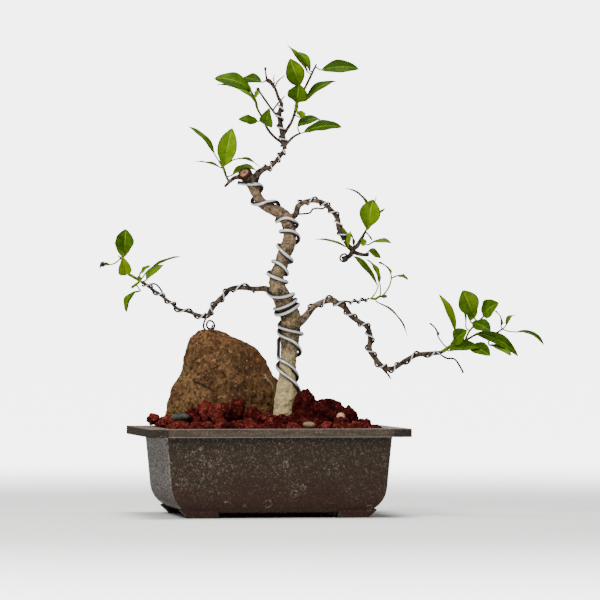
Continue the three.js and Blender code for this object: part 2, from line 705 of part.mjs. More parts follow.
function bedHeight(x, y) {
  let height = bedTop
  for (const mound of mounds) {
    const away = ((x - mound.x) / mound.halfLength) ** 2 + ((y - mound.y) / mound.halfDepth) ** 2
    height += mound.rise * Math.exp(-away)
  }
  return height
}

const bedColumns = 8
const bedRows = 6

function makeBed() {
  const halfLength = bodyTopLength / 2
  const halfDepth = bodyTopDepth / 2
  const surface = new THREE.BoxGeometry(2 * halfLength, 2 * halfDepth, 1, bedColumns, bedRows, 1)
  const position = surface.attributes.position
  for (let i = 0; i < position.count; i++) {
    const isTop = position.getZ(i) > 0
    position.setZ(i, isTop ? bedHeight(position.getX(i), position.getY(i)) : soilTop + gap)
  }
  return solidOf(surface)
}

const chunkRoughness = 0.36

function chunk([x, y, z], [sizeX, sizeY, sizeZ], detail, random) {
  const rough = new THREE.IcosahedronGeometry(1, detail)
  rough.deleteAttribute('normal')
  rough.deleteAttribute('uv')
  const shape = mergeVertices(rough, 1e-4)
  const position = shape.attributes.position
  const turn = () => 2 * Math.PI * random()
  const spin = new THREE.Euler(turn(), turn(), turn())
  for (let i = 0; i < position.count; i++) {
    const point = new THREE.Vector3().fromBufferAttribute(position, i).applyEuler(spin)
    const reach = 1 + chunkRoughness * (random() - 0.5)
    position.setXYZ(i, x + point.x * reach * sizeX, y + point.y * reach * sizeY, z + point.z * reach * sizeZ)
  }
  return solidOf(shape)
}

// Large chunks that show from the front: middle, half size and fineness, in the tree's frame
const largeChunks = [
  [[-116, 62, 95], [6.5, 6, 6], 0], [[-104, 55, 88], [9, 8, 6], 0],
  [[-62, -26, 104], [8, 8, 12], 0], [[-73, -30, 99], [8, 8, 9], 0],
  [[-50, -28, 101], [8.5, 8, 10], 0], [[-39, -27, 104], [8, 8, 10], 0],
  [[-28, -26, 106], [8, 8, 11], 0], [[-15, -30, 101], [9, 8, 9], 0],
  [[-90, -24, 95], [8, 8, 8], 0], [[-101, -12, 93], [7, 8, 7], 0],
  [[41, -24, 105.5], [12, 11, 18], 1], [[58.5, -26, 100.5], [15, 12, 13], 1],
  [[70, -22, 96], [11, 11, 12], 0], [[82, -22, 98], [9.5, 9, 10], 0],
  [[98, -16, 90], [7, 7, 6], 0], [[0, -34, 95], [9, 8, 8], 0], [[16, -37, 94], [9, 8, 8], 0],
  [[48, 12, 94], [12, 11, 11], 0], [[-86, -40, 90], [11, 8, 7], 0], [[74, -41, 92], [10, 9, 7], 0],
  [[42, -61, 87], [10, 8, 6], 0],
]
const smallChunkPitch = 42
const smallChunkLeast = 11
const smallChunkMost = 15
const smallChunkShift = 3.5
const gravelInset = 14
const gravelTop = 140
const rimInset = 3

function makeLava(clearances) {
  const random = randomFrom(23)
  const turned = THREE.MathUtils.degToRad(treeTurn)
  const pieces = [makeBed()]
  for (const [[x, y, z], size, fineness] of largeChunks) {
    const place = new THREE.Vector3(x, y, z).applyAxisAngle(new THREE.Vector3(0, 0, 1), turned)
    pieces.push(chunk(place.toArray(), size, fineness, random))
  }
  const between = (least, most) => THREE.MathUtils.lerp(least, most, random())
  const endX = bodyTopLength / 2 - gravelInset
  const endY = bodyTopDepth / 2 - gravelInset
  for (let x = -endX; x <= endX; x += smallChunkPitch) {
    for (let y = -endY; y <= endY; y += smallChunkPitch) {
      const middleX = x + between(-smallChunkShift, smallChunkShift)
      const middleY = y + between(-smallChunkShift, smallChunkShift)
      const size = between(smallChunkLeast, smallChunkMost)
      const middle = [middleX, middleY, bedHeight(middleX, middleY) + 0.2 * size]
      pieces.push(chunk(middle, [size, size * between(0.8, 1.2), 0.75 * size], 0, random))
    }
  }
  const inPot = loft([soilTop + gap, potHeight + gap].map(z => potRing(z, potWall + gap, 0)))
  const abovePot = block(rimLength - 2 * rimInset, rimDepth - 2 * rimInset, potHeight + gap, gravelTop)
  return largestBody(fuse(pieces).intersect(inPot.add(abovePot)).subtract(fuse(clearances)))
}

// Pebbles on the lava: middle, half sizes, in the tree's frame
const pebbles = {
  blue: { middle: [-86, -40, 98.5], size: [10, 7, 4.2] },
  tan: { middle: [42, -62, 91], size: [7, 5.5, 3.8] },
  orange: { middle: [73.5, -40, 99], size: [4.8, 4.4, 4.4] },
}

function makePebble({ middle, size }, extra = 0) {
  const ball = new THREE.SphereGeometry(1, 10, 6)
  ball.rotateX(Math.PI / 2)
  ball.scale(...size.map(half => half + extra))
  ball.translate(...middle)
  return solidOf(ball)
}

// Soil fills the pot from just over its floor, with a plain hole for the trunk's foot
function makeSoil(trunkRoom) {
  const netRoom = drainPlaces.map(x =>
    block(netSize + 2 * gap, netSize + 2 * gap, 0, netLow + netThickness + gap).translate([x, 0, 0]))
  return cavity(potWall + gap, potWall + gap, soilTop).subtract(trunkRoom).subtract(fuse(netRoom))
}

// Trunk wires: the turn, zero at the front and a quarter at the left,
// and the height of the trunk's middle line there
const trunkWireRadius = 1.6
const quarterHeights = [
  121, 139, 148, 157, 163.5, 176, 182, 193, 206, 205, 206, 211, 215.5, 219, 226, 230, 231.5,
  236.5, 240, 243, 245, 248.5, 251, 253.5, 255.5, 260, 265.5, 271, 277, 282, 285, 286.5, 288.5,
  295.5, 300, 303, 305.5, 311, 316, 320, 325, 331,
]
const trunkWireStart = -0.25
const trunkWireRows = quarterHeights.map((height, quarter) => [trunkWireStart + quarter / 4, height])
const trunkWireFoot = new THREE.Vector3(2.5, 1, -34)
const secondWireRadius = 1.45
const secondWireFoot = new THREE.Vector3(1, 4, -42)
const wirePointsInGravel = 8
const secondWireRows = [
  [-0.5, 128], [-0.25, 139], [0, 151], [0.22, 157], [0.27, 174], [0.5, 179], [0.75, 182.5],
  [1, 185.5], [1.25, 189.5], [1.5, 199.5], [1.75, 211], [2, 210], [2.2, 211],
]

function trunkShareAt(height) {
  const curve = curveOf(trunkLine)
  let low = 0
  let high = 1
  for (let i = 0; i < 30; i++) {
    const middle = (low + high) / 2
    if (curve.getPoint(middle).z < height) low = middle
    else high = middle
  }
  return low
}

// The wire comes up out of the gravel beside the trunk, from the foot below its first turn
function trunkCoil(rows, wireRadius, foot) {
  const curve = curveOf(trunkLine)
  const course = new THREE.CatmullRomCurve3(rows.map(([turn, height]) => new THREE.Vector3(turn, 0, height)))
  const points = course.getPoints((rows.length - 1) * trunkWireSteps)
    .map(point => pointBeside(curve, trunkLine, trunkShareAt(point.z), point.x, wireRadius))
  const end = points[0].clone().add(foot)
  return [end, points[0].clone().lerp(end, 0.4), ...points]
}

// Branch wires: how far along the limb they run, with the number of turns
const branchWireRadius = 0.9

const branchWires = {
  wire_left: { line: leftBranchLine, from: 0.17, to: 0.97, turns: 8, start: 0.3 },
  wire_upper_right: { line: upperRightLine, from: 0.28, to: 0.96, turns: 5, start: 0.2 },
  wire_lower_right: { line: lowerRightLine, from: 0.13, to: 0.98, turns: 10, start: 0.1 },
  wire_lower_twig: { line: lowerTwigLine, from: 0.42, to: 0.95, turns: 2.5, start: 0.5 },
  wire_crown: { line: crownBranchLine, from: 0.35, to: 0.95, turns: 3, start: 0.1 },
}
const lowerRightTail = [[179, -13, 157], [187, -13, 156], [192.6, -13, 148.6], [196, -13, 142]]
const branchWireSteps = 8
const branchWireSides = 4
const trunkWireSteps = 3
const trunkWireSides = 5

function branchWire(name) {
  const { line, from, to, turns, start } = branchWires[name]
  const points = coilPoints(line, from, to, turns, start, branchWireRadius, branchWireSteps)
  if (name === 'wire_lower_right') points.push(...lowerRightTail.map(row => new THREE.Vector3(...row)))
  const wire = wireAlong(points, branchWireRadius, branchWireSides)
  return name === 'wire_lower_right' ? wire.subtract(limb(lowerTwigLine, 6, gap)) : wire
}

// The parts put together
const bonsai = new THREE.Group()
const tree = new THREE.Group()
tree.rotation.z = THREE.MathUtils.degToRad(treeTurn)
bonsai.add(tree)

function place(parent, name, solid, material) {
  const mesh = new THREE.Mesh(geometryOf(solid), material)
  mesh.name = name
  parent.add(mesh)
}

const woodRoom = makeWood(gap)
const trunkWirePoints = trunkCoil(trunkWireRows, trunkWireRadius, trunkWireFoot)
const secondWirePoints = trunkCoil(secondWireRows, secondWireRadius, secondWireFoot)
const wireRoom = fuse([
  wireAlong(trunkWirePoints.slice(0, wirePointsInGravel), trunkWireRadius + gap, trunkWireSides),
  wireAlong(secondWirePoints.slice(0, wirePointsInGravel), secondWireRadius + gap, trunkWireSides),
])
const toPot = solid => solid.rotate([0, 0, treeTurn])
const lavaClearances = [
  woodRoom,
  wireRoom,
  makeStone(gap),
  ...Object.values(pebbles).map(pebble => makePebble(pebble, gap)),
].map(toPot)

place(bonsai, 'pot', makePot(), brownPlastic)
place(bonsai, 'drain_net_left', makeDrainNet(drainPlaces[0]), blackMesh)
place(bonsai, 'drain_net_right', makeDrainNet(drainPlaces[1]), blackMesh)
place(bonsai, 'soil', makeSoil(toPot(woodRoom)), darkSoil)
place(bonsai, 'lava_gravel', makeLava(lavaClearances), redLava)
place(tree, 'pebble_blue', makePebble(pebbles.blue), bluePebble)
place(tree, 'pebble_tan', makePebble(pebbles.tan), tanPebble)
place(tree, 'pebble_orange', makePebble(pebbles.orange), orangePebble)
place(tree, 'stone', makeStone(), brownStone)
place(tree, 'trunk', makeWood(), greyBark)
place(tree, 'wire_trunk', wireAlong(trunkWirePoints, trunkWireRadius, trunkWireSides), brightWire)
place(tree, 'wire_trunk_second', wireAlong(secondWirePoints, secondWireRadius, trunkWireSides), brightWire)
for (const name of Object.keys(branchWires)) place(tree, name, branchWire(name), brightWire)

for (const [name, spray] of Object.entries(sprays)) {
  place(tree, name, makeSpray(spray, woodRoom), greenLeaf)
}

// The origin is under the middle of the whole, on the surface that the feet stand on
bonsai.updateMatrixWorld(true)
const reach = new THREE.Box3().setFromObject(bonsai, true)
const middle = reach.getCenter(new THREE.Vector3())
bonsai.position.set(-middle.x, -middle.y, -reach.min.z)
bonsai.updateMatrixWorld(true)

export default bonsai
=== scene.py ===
# Young Chinese banyan, wired as a bonsai beside a stone in an oblong plastic pot
import math
import random

import bpy
from mathutils import Matrix, Vector
from mathutils.kdtree import KDTree


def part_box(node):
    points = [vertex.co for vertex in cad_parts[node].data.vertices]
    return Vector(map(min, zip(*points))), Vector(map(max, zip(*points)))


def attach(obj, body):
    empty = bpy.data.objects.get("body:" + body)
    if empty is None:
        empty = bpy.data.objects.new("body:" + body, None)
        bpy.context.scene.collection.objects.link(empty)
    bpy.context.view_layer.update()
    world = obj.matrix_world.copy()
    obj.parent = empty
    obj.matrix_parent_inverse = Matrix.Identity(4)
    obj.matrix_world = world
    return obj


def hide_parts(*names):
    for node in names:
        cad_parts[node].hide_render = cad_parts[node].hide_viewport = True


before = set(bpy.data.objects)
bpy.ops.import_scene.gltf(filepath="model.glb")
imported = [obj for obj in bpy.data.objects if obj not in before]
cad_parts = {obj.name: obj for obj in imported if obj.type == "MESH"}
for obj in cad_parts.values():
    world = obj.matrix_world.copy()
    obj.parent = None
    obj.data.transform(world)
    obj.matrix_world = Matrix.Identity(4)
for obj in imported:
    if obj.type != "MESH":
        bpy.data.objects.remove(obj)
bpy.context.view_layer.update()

# Lengths in the dictionaries are millimetres, and most are in the tree's own frame,
# which is turned a little on the pot: x to the right, y away from its front, z up from the floor
mm = 0.001
potLow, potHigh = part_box("pot")
potMiddle = Vector(((potLow.x + potHigh.x) / 2, (potLow.y + potHigh.y) / 2, potLow.z))
potPlace = Matrix.Translation(potMiddle) @ Matrix.Scale(mm, 4)
treeTurn = Matrix.Rotation(math.radians(-8.5), 4, "Z")
treePlace = Matrix.Translation(potMiddle) @ treeTurn @ Matrix.Scale(mm, 4)


# Camera, floor and light
view = {
    "aim": (33, 0, 215),
    "distance": 5000,
    "height": 185,
    "lens": 300,
    "sensor": 36,
    "reach": 30,  # metres that the camera sees
}
lights = [  # name, place from the tree, size, watts, colour
    ("softKey", (-700, -1300, 1400), 700, 34, (1.0, 0.98, 0.94)),
    ("softFill", (1300, -1200, 500), 1300, 4, (0.97, 0.98, 1.0)),
    ("softTop", (0, 100, 1900), 1000, 24, (1.0, 0.99, 0.96)),
    ("softBack", (500, 1500, 900), 1000, 5, (1.0, 1.0, 1.0)),
]
room = {
    "lightsAim": (0, 0, 230),
    "glow": 0.15,  # light from all round
    "seen": 5.2,  # brightness of the backdrop in the picture
    "floorSize": 24,  # metres
    "floorColour": (0.9, 0.9, 0.895, 1),
    "floorNear": 0.45,  # metres from the pot to where the floor starts to fade into the backdrop
    "floorFar": 2.2,
    "floorGlow": 0.5,  # of the floor near the pot
    "underPot": (0.12, 0.095),  # half of the patch under the pot that does not glow
    "patchEdge": (0.9, 1.3),  # where the glow starts and is full, in halves of that patch
}


def turnedTo(aim, stand):
    return (aim - stand).to_track_quat("-Z", "Y").to_euler()


def addCamera():
    x, y, _ = view["aim"]
    stand = treePlace @ Vector((x, y - view["distance"], view["height"]))
    deselect()
    bpy.ops.object.camera_add(location=stand)
    camera = added("Camera")
    camera.rotation_euler = turnedTo(treePlace @ Vector(view["aim"]), stand)
    camera.data.lens = view["lens"]
    camera.data.sensor_width = view["sensor"]
    camera.data.clip_end = view["reach"]
    bpy.context.scene.camera = camera


def addLights():
    middle = treePlace @ Vector(room["lightsAim"])
    for name, place, size, watts, colour in lights:
        stand = treePlace @ Vector(place)
        deselect()
        bpy.ops.object.light_add(type="AREA", location=stand)
        lamp = added(name)
        lamp.rotation_euler = turnedTo(middle, stand)
        lamp.data.size = size * mm
        lamp.data.energy = watts
        lamp.data.color = colour
    world = bpy.data.worlds.new("paleRoom")
    world.use_nodes = True
    tree = world.node_tree
    background = tree.nodes["Background"].inputs
    background["Color"].default_value = (1, 1, 1, 1)
    seen = addNode(tree, "LightPath").outputs["Is Camera Ray"]
    tree.links.new(spread(tree, seen, room["glow"], room["seen"]), background["Strength"])
    bpy.context.scene.world = world


# Pale floor that fades into the backdrop away from the pot
def addFloor():
    deselect()
    bpy.ops.mesh.primitive_plane_add(size=room["floorSize"], location=(0, 0, potLow.z))
    floor = added("paleFloor")
    material, tree, shader, spot = newMaterial("floorPaint", {
        "Base Color": room["floorColour"], "Roughness": 0.9, "Specular IOR Level": 0.1,
        "Emission Color": (1, 1, 1, 1)})
    spot = fromPotMiddle(tree, spot)
    away = addNode(tree, "VectorMath", {0: spot}, operation="LENGTH").outputs["Value"]
    fade = addRange(tree, away, room["floorNear"], room["floorFar"], room["floorGlow"], room["seen"])
    split = addNode(tree, "SeparateXYZ", {"Vector": spot}).outputs
    sides = [addMath(tree, "DIVIDE", addMath(tree, "ABSOLUTE", split[axis]), half)
             for axis, half in zip("XY", room["underPot"])]
    glow = times(tree, fade, addRange(tree, addMath(tree, "MAXIMUM", *sides), *room["patchEdge"]))
    seen = addNode(tree, "LightPath").outputs["Is Camera Ray"]
    tree.links.new(times(tree, glow, seen), shader.inputs["Emission Strength"])
    floor.data.materials.append(material)


# Steps that every piece uses
def deselect():
    bpy.ops.object.select_all(action="DESELECT")


def pick(*pieces):
    deselect()
    for piece in pieces:
        piece.select_set(True)
    bpy.context.view_layer.objects.active = pieces[0]


def added(name):  # what the last operator has added
    made = bpy.context.active_object
    made.name = name
    return made


def applyModifier(piece, kind, **settings):
    pick(piece)
    modifier = piece.modifiers.new(kind.title(), kind)
    for name, value in settings.items():
        setattr(modifier, name, value)
    bpy.ops.object.modifier_apply(modifier=modifier.name)


def editAll(piece):
    pick(piece)
    bpy.ops.object.mode_set(mode="EDIT")
    bpy.ops.mesh.select_all(action="SELECT")


def mergeDoubles(piece):
    editAll(piece)
    bpy.ops.mesh.remove_doubles(threshold=0.01 * mm)
    bpy.ops.object.mode_set(mode="OBJECT")


def joined(pieces, name):
    pick(*pieces)
    if len(pieces) > 1:
        bpy.ops.object.join()
    piece = bpy.context.active_object
    piece.name = name
    piece.data.name = name
    return piece


def copyOf(source, name):
    piece = bpy.data.objects.new(name, source.data.copy())
    bpy.context.scene.collection.objects.link(piece)
    return piece


def copyOfNode(node, name):
    piece = copyOf(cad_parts[node], name)
    mergeDoubles(piece)
    return piece


def setFloat(piece, name, values):  # a number for each vertex, or one for all
    if isinstance(values, (int, float)):
        values = [values] * len(piece.data.vertices)
    attribute = piece.data.attributes.get(name) or piece.data.attributes.new(name, "FLOAT", "POINT")
    attribute.data.foreach_set("value", values)


# Pushes the surface in and out by a few textures, and keeps the height in the relief attribute
def roughen(piece, layers, **settings):
    before = [(vertex.co.copy(), vertex.normal.copy()) for vertex in piece.data.vertices]
    for kind, size, strength in layers:
        texture = bpy.data.textures.new(f"{piece.name}{kind}{size}", kind)
        texture.noise_scale = size * mm
        applyModifier(piece, "DISPLACE", texture=texture, texture_coords="LOCAL",
                      strength=strength * mm, mid_level=0.5, **settings)
    reach = sum(strength for kind, size, strength in layers) * mm / 2
    heights = [(vertex.co - place).dot(normal) / reach
               for vertex, (place, normal) in zip(piece.data.vertices, before)]
    setFloat(piece, "relief", heights)


def coat(piece, *materials):
    piece.data.materials.clear()
    for material in materials:
        piece.data.materials.append(material)


def finishPiece(piece, slot, nodes, smooth):
    pick(piece)
    bpy.ops.object.shade_smooth_by_angle(angle=math.radians(smooth))
    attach(piece, "root")
    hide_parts(*nodes)


# Smooth line through given points, and points beside it
def splinePoint(points, place):
    first = min(int(place), len(points) - 2)
    share = place - first
    near, far = points[first], points[first + 1]
    before = points[first - 1] if first > 0 else near * 2 - far
    after = points[first + 2] if first + 2 < len(points) else far * 2 - near
    a, b, c = [max((end - start).length, 1e-6) ** 0.5
               for start, end in ((before, near), (near, far), (far, after))]
    nearSlope = ((near - before) / a - (far - before) / (a + b) + (far - near) / b) * b
    farSlope = ((far - near) / b - (after - near) / (b + c) + (after - far) / c) * b
    square, cube = share ** 2, share ** 3
    return (near * (2 * cube - 3 * square + 1) + nearSlope * (cube - 2 * square + share)
            + far * (3 * square - 2 * cube) + farSlope * (cube - square))


def lineOf(rows):
    return [Vector(row[:3]) for row in rows]


def pointOn(rows, share):
    return splinePoint(lineOf(rows), share * (len(rows) - 1))


def tangentOn(rows, share):
    step = 0.0005
    low, high = max(share - step, 0), min(share + step, 1)
    return (pointOn(rows, high) - pointOn(rows, low)).normalized()


def radiusOn(rows, share):
    place = share * (len(rows) - 1)
    first = min(int(place), len(rows) - 2)
    return rows[first][3] + (rows[first + 1][3] - rows[first][3]) * (place - first)


# Turn is in whole turns: zero at the front, a quarter at the left, a half at the back
def besideLimb(rows, share, turn, lift):
    tangent = tangentOn(rows, share)
    front = (Vector((0, -1, 0)) + tangent * tangent.y).normalized()
    left = front.cross(tangent)
    angle = math.tau * turn
    reach = radiusOn(rows, share) + lift
    return pointOn(rows, share) + front * reach * math.cos(angle) + left * reach * math.sin(angle)


def smoothPoints(points, steps):
    count = (len(points) - 1) * steps
    return [splinePoint(points, step / steps) for step in range(count + 1)]


# To find the nearest of some points of the tree's frame
def searchTree(points):
    found = KDTree(len(points))
    for index, point in enumerate(points):
        found.insert(treePlace @ point, index)
    found.balance()
    return found


def drawTube(name, points, radii, roundness):
    deselect()
    bpy.ops.curve.primitive_nurbs_path_add()
    path = added(name)
    curve = path.data
    spline = curve.splines[0]
    spline.type = "POLY"
    spline.points.add(len(points) - len(spline.points))
    for spot, point, radius in zip(spline.points, points, radii):
        spot.co = (*(treePlace @ point), 1)
        spot.radius = radius * mm
    curve.bevel_depth = 1
    curve.bevel_resolution = roundness
    curve.use_fill_caps = True
    bpy.ops.object.convert(target="MESH")
    mergeDoubles(path)
    return path


def drawLimb(name, rows, stepsPerRow=5, roundness=3):
    count = (len(rows) - 1) * stepsPerRow
    shares = [step / count for step in range(count + 1)]
    return drawTube(name, [pointOn(rows, share) for share in shares],
                    [radiusOn(rows, share) for share in shares], roundness)


# Node tools
softEdge = 0.4  # where a round mask is full, as a share of its radius


def paint(red, green, blue):  # a screen colour, 0 to 255
    return (*[(value / 255) ** 2.2 for value in (red, green, blue)], 1)


def newMaterial(name, levels):  # levels: what is the same all over the surface
    material = bpy.data.materials.new(name)
    material.use_nodes = True
    tree = material.node_tree
    shader = tree.nodes["Principled BSDF"]
    for socket, value in levels.items():
        shader.inputs[socket].default_value = value
    spot = addNode(tree, "TexCoord").outputs["Object"]
    return material, tree, shader, spot


def addNode(tree, kind, sockets=None, **settings):
    made = tree.nodes.new("ShaderNode" + kind)
    for name, value in settings.items():
        setattr(made, name, value)
    for name, value in (sockets or {}).items():
        if isinstance(value, bpy.types.NodeSocket):
            tree.links.new(value, made.inputs[name])
        else:
            made.inputs[name].default_value = value
    return made


def addMath(tree, operation, first, second=0.5):
    return addNode(tree, "Math", {0: first, 1: second}, operation=operation).outputs[0]


def times(tree, first, second):
    return addMath(tree, "MULTIPLY", first, second)


def addVector(tree, operation, first, second):
    return addNode(tree, "VectorMath", {0: first, 1: second}, operation=operation).outputs


def addRamp(tree, factor, stops):
    made = addNode(tree, "ValToRGB", {"Fac": factor})
    elements = made.color_ramp.elements
    while len(elements) < len(stops):
        elements.new(0.5)
    for element, (place, colour) in zip(elements, stops):
        element.position = place
        element.color = colour
    return made.outputs["Color"]


def addMix(tree, factor, first, second, blend="MIX"):
    return addNode(tree, "Mix", {"Factor": factor, 6: first, 7: second}, data_type="RGBA",
                   blend_type=blend).outputs[2]


# Each layer is a colour, the mask where it shows, and its share there, from the bottom up
def layColours(tree, colour, *layers):
    for top, mask, share in layers:
        colour = addMix(tree, times(tree, mask, share), colour, top)
    return colour


def addRange(tree, value, low, high, fromValue=0.0, toValue=1.0):
    return addNode(tree, "MapRange", {"Value": value, "From Min": low, "From Max": high,
                                      "To Min": fromValue, "To Max": toValue},
                   interpolation_type="SMOOTHSTEP").outputs["Result"]


def addLevels(tree, value, levels, fromValue=0.0, toValue=1.0):  # two levels in millimetres
    return addRange(tree, value, levels[0] * mm, levels[1] * mm, fromValue, toValue)


def spread(tree, mask, low, high):  # a mask, 0 to 1, made to run from low to high
    return addRange(tree, mask, 0, 1, low, high)


# Soft spot about a place given in the tree's frame
def addSpotMask(tree, spot, place, radius):
    away = addVector(tree, "DISTANCE", spot, tuple(treePlace @ Vector(place)))["Value"]
    return addLevels(tree, away, (radius, radius * softEdge))


# Soft line between two places of the tree's frame, whatever the depth
def addLineMask(tree, spot, start, end, width):
    flat = Vector((1, 0, 1))
    first, last = (treePlace @ Vector(place) * flat for place in (start, end))
    course = last - first
    place = addVector(tree, "MULTIPLY", spot, tuple(flat))["Vector"]
    offset = addVector(tree, "SUBTRACT", place, tuple(first))["Vector"]
    along = addVector(tree, "DOT_PRODUCT", offset, tuple(course / course.length_squared))["Value"]
    share = addNode(tree, "Clamp", {"Value": along}).outputs[0]
    reached = addNode(tree, "VectorMath", {0: tuple(course), "Scale": share}, operation="SCALE")
    away = addVector(tree, "DISTANCE", offset, reached.outputs[0])["Value"]
    return addLevels(tree, away, (width, width * softEdge))


def addBump(tree, shader, height, strength, distance):
    made = addNode(tree, "Bump", {"Height": height, "Strength": strength, "Distance": distance * mm})
    tree.links.new(made.outputs["Normal"], shader.inputs["Normal"])


def addNoise(tree, spot, scale, detail, **sockets):
    return addNode(tree, "TexNoise", {"Vector": spot, "Scale": scale, "Detail": detail, **sockets}).outputs


def addCells(tree, spot, scale, **settings):
    return addNode(tree, "TexVoronoi", {"Vector": spot, "Scale": scale}, **settings).outputs


# The place, shifted by noise, so that what is drawn there is bent
def bendPlace(tree, spot, noise, reach, middle=0):
    shift = addVector(tree, "SUBTRACT", noise["Color"], (middle, middle, middle))["Vector"]
    shift = addVector(tree, "MULTIPLY", shift, (reach, reach, reach))["Vector"]
    return addVector(tree, "ADD", spot, shift)["Vector"]


def attributeValue(tree, name):
    return addNode(tree, "Attribute", attribute_name=name).outputs["Fac"]


def stretchPlace(tree, spot, scale):
    return addNode(tree, "Mapping", {"Vector": spot, "Scale": scale}).outputs["Vector"]


def fromPotMiddle(tree, spot):
    return addNode(tree, "Mapping", {"Vector": spot, "Location": tuple(-potMiddle)}).outputs["Vector"]


# A node group that makes a mask from a place and a few numbers
def newMaskGroup(name, numbers):
    group = bpy.data.node_groups.new(name, "ShaderNodeTree")
    group.interface.new_socket("Vector", in_out="INPUT", socket_type="NodeSocketVector")
    for label, value in numbers.items():
        socket = group.interface.new_socket(label, in_out="INPUT", socket_type="NodeSocketFloat")
        socket.default_value = value
    group.interface.new_socket("Mask", in_out="OUTPUT", socket_type="NodeSocketFloat")
    return group, group.nodes.new("NodeGroupInput").outputs, group.nodes.new("NodeGroupOutput").inputs


# Cloudy patches: a soft mask from noise, sized in patches per metre
def makePatchGroup():
    group, given, made = newMaskGroup("patches", {"Scale": 100, "Low": 0.4, "High": 0.6})
    noise = addNoise(group, given["Vector"], given["Scale"], 6, Roughness=0.6)
    group.links.new(addRange(group, noise["Fac"], given["Low"], given["High"]), made["Mask"])
    return group


# Specks of uneven size: the amount is the share of the cells that carry one
def makeSpeckGroup():
    group, given, made = newMaskGroup("specks", {"Scale": 400, "Amount": 0.3, "Size": 0.35})
    cells = addCells(group, given["Vector"], given["Scale"])
    draw = addNode(group, "SeparateColor", {"Color": cells["Color"]}).outputs
    chosen = addMath(group, "LESS_THAN", draw["Red"], given["Amount"])
    size = times(group, given["Size"], draw["Green"])
    spot = addRange(group, cells["Distance"], size, times(group, size, softEdge))
    group.links.new(times(group, spot, chosen), made["Mask"])
    return group


patches = makePatchGroup()
specks = makeSpeckGroup()


# Rows for clouds are patches per metre, and the noise where a patch starts and where it is full
def addCloud(tree, spot, scale, low, high):
    return addNode(tree, "Group", {"Vector": spot, "Scale": scale, "Low": low, "High": high},
                   node_tree=patches).outputs["Mask"]


# Rows for specks are cells per metre, the share of the cells with a speck, and its size
def addSpecks(tree, spot, scale, amount, size):
    return addNode(tree, "Group", {"Vector": spot, "Scale": scale, "Amount": amount, "Size": size},
                   node_tree=specks).outputs["Mask"]


# Bark: beige at the foot, red-brown in the upper trunk, dark grey-brown on the branches
bark = {
    "foot": paint(214, 194, 142),
    "tan": paint(150, 128, 96),
    "dark": paint(50, 37, 28),
    "upper": paint(140, 114, 92),
    "branch": paint(92, 76, 62),
    "branchDark": paint(28, 22, 18),
    "branchPale": paint(140, 118, 96),
    "fleck": paint(222, 206, 172),
    "cut": paint(182, 132, 104),
    "cutDark": paint(48, 29, 22),
    "clouds": [(75, 0.42, 0.62), (180, 0.44, 0.6), (500, 0.5, 0.64)],  # wide, middle, fine
    "footEnds": (170, 140),  # heights where the pale foot fades out
    "footWander": (-8, 10),
    "upperStarts": (235, 295),
    "shadows": [((12, -20, 199), 13), ((21, -20, 203), 7), ((14, -24, 222), 7)],
    "paleRoots": [((48, -14, 207), 30), ((42, -8, 312), 20)],  # of the two right branches
}


def makeBark():
    material, tree, shader, spot = newMaterial("barkFinish", {
        "Roughness": 0.85, "Specular IOR Level": 0.25})
    z = addNode(tree, "SeparateXYZ", {"Vector": spot}).outputs["Z"]
    wide, middle, fine = (addCloud(tree, spot, *row) for row in bark["clouds"])
    trunkColour = layColours(
        tree, bark["tan"],
        (bark["upper"], addLevels(tree, z, bark["upperStarts"]), 0.75),
        (bark["dark"], wide, 0.7),
        (bark["dark"], middle, 0.5),
        *[(bark["dark"], addSpotMask(tree, spot, *shadow), 0.8) for shadow in bark["shadows"]])
    wander = spread(tree, wide, *(level * mm for level in bark["footWander"]))
    isFoot = addLevels(tree, addMath(tree, "ADD", z, wander), bark["footEnds"])
    footColour = layColours(tree, bark["foot"], (bark["tan"], fine, 0.75))
    trunkColour = addMix(tree, isFoot, trunkColour, footColour)
    branchColour = bark["branch"]
    for root in bark["paleRoots"]:
        branchColour = addMix(tree, addSpotMask(tree, spot, *root), branchColour, bark["branchPale"])
    branchColour = addMix(tree, middle, branchColour, bark["branchDark"])
    onBranch = attributeValue(tree, "branch")
    colour = addMix(tree, onBranch, trunkColour, branchColour)
    shade = addRange(tree, attributeValue(tree, "relief"), -0.6, 0.4, 0.35, 1.1)
    grey = addNode(tree, "CombineColor", {"Red": shade, "Green": shade, "Blue": shade}).outputs["Color"]
    colour = addMix(tree, 1.0, colour, grey, "MULTIPLY")
    colour = layColours(tree, colour, (bark["fleck"], fine, spread(tree, onBranch, 0.32, 0.12)))
    cut = attributeValue(tree, "cut")
    rings = addNoise(tree, spot, 420, 4, Distortion=1.5)["Fac"]
    worn = addMath(tree, "MAXIMUM", addRange(tree, rings, 0.5, 0.64), addRange(tree, cut, 0.72, 0.55))
    cutColour = addMix(tree, worn, bark["cut"], bark["cutDark"])
    colour = addMix(tree, addRange(tree, cut, 0.2, 0.45), colour, cutColour)
    tree.links.new(colour, shader.inputs["Base Color"])
    addBump(tree, shader, addNoise(tree, spot, 900, 5)["Fac"], 0.8, 0.8)
    return material


# Leaves: tone runs from dark green to sunlit yellow green
leafLook = {
    "dark": paint(34, 66, 0),
    "middle": paint(76, 112, 0),
    "light": paint(128, 158, 0),
    "rib": paint(160, 184, 62),
    "edge": paint(32, 46, 2),
    "underDark": paint(62, 86, 8),
    "underPale": paint(122, 148, 30),
    "cloud": (140, 0.3, 0.7),
    "underCloud": (160, 0.3, 0.7),
    "sideVeins": 11,
    "veinSlant": 7,
    "ribEdge": (0.045, 0.015),  # from the middle, as a share of the blade's width
    "halves": 0.1,  # one half of the blade is darker by this tone with painted shade, and the other paler with painted light
}


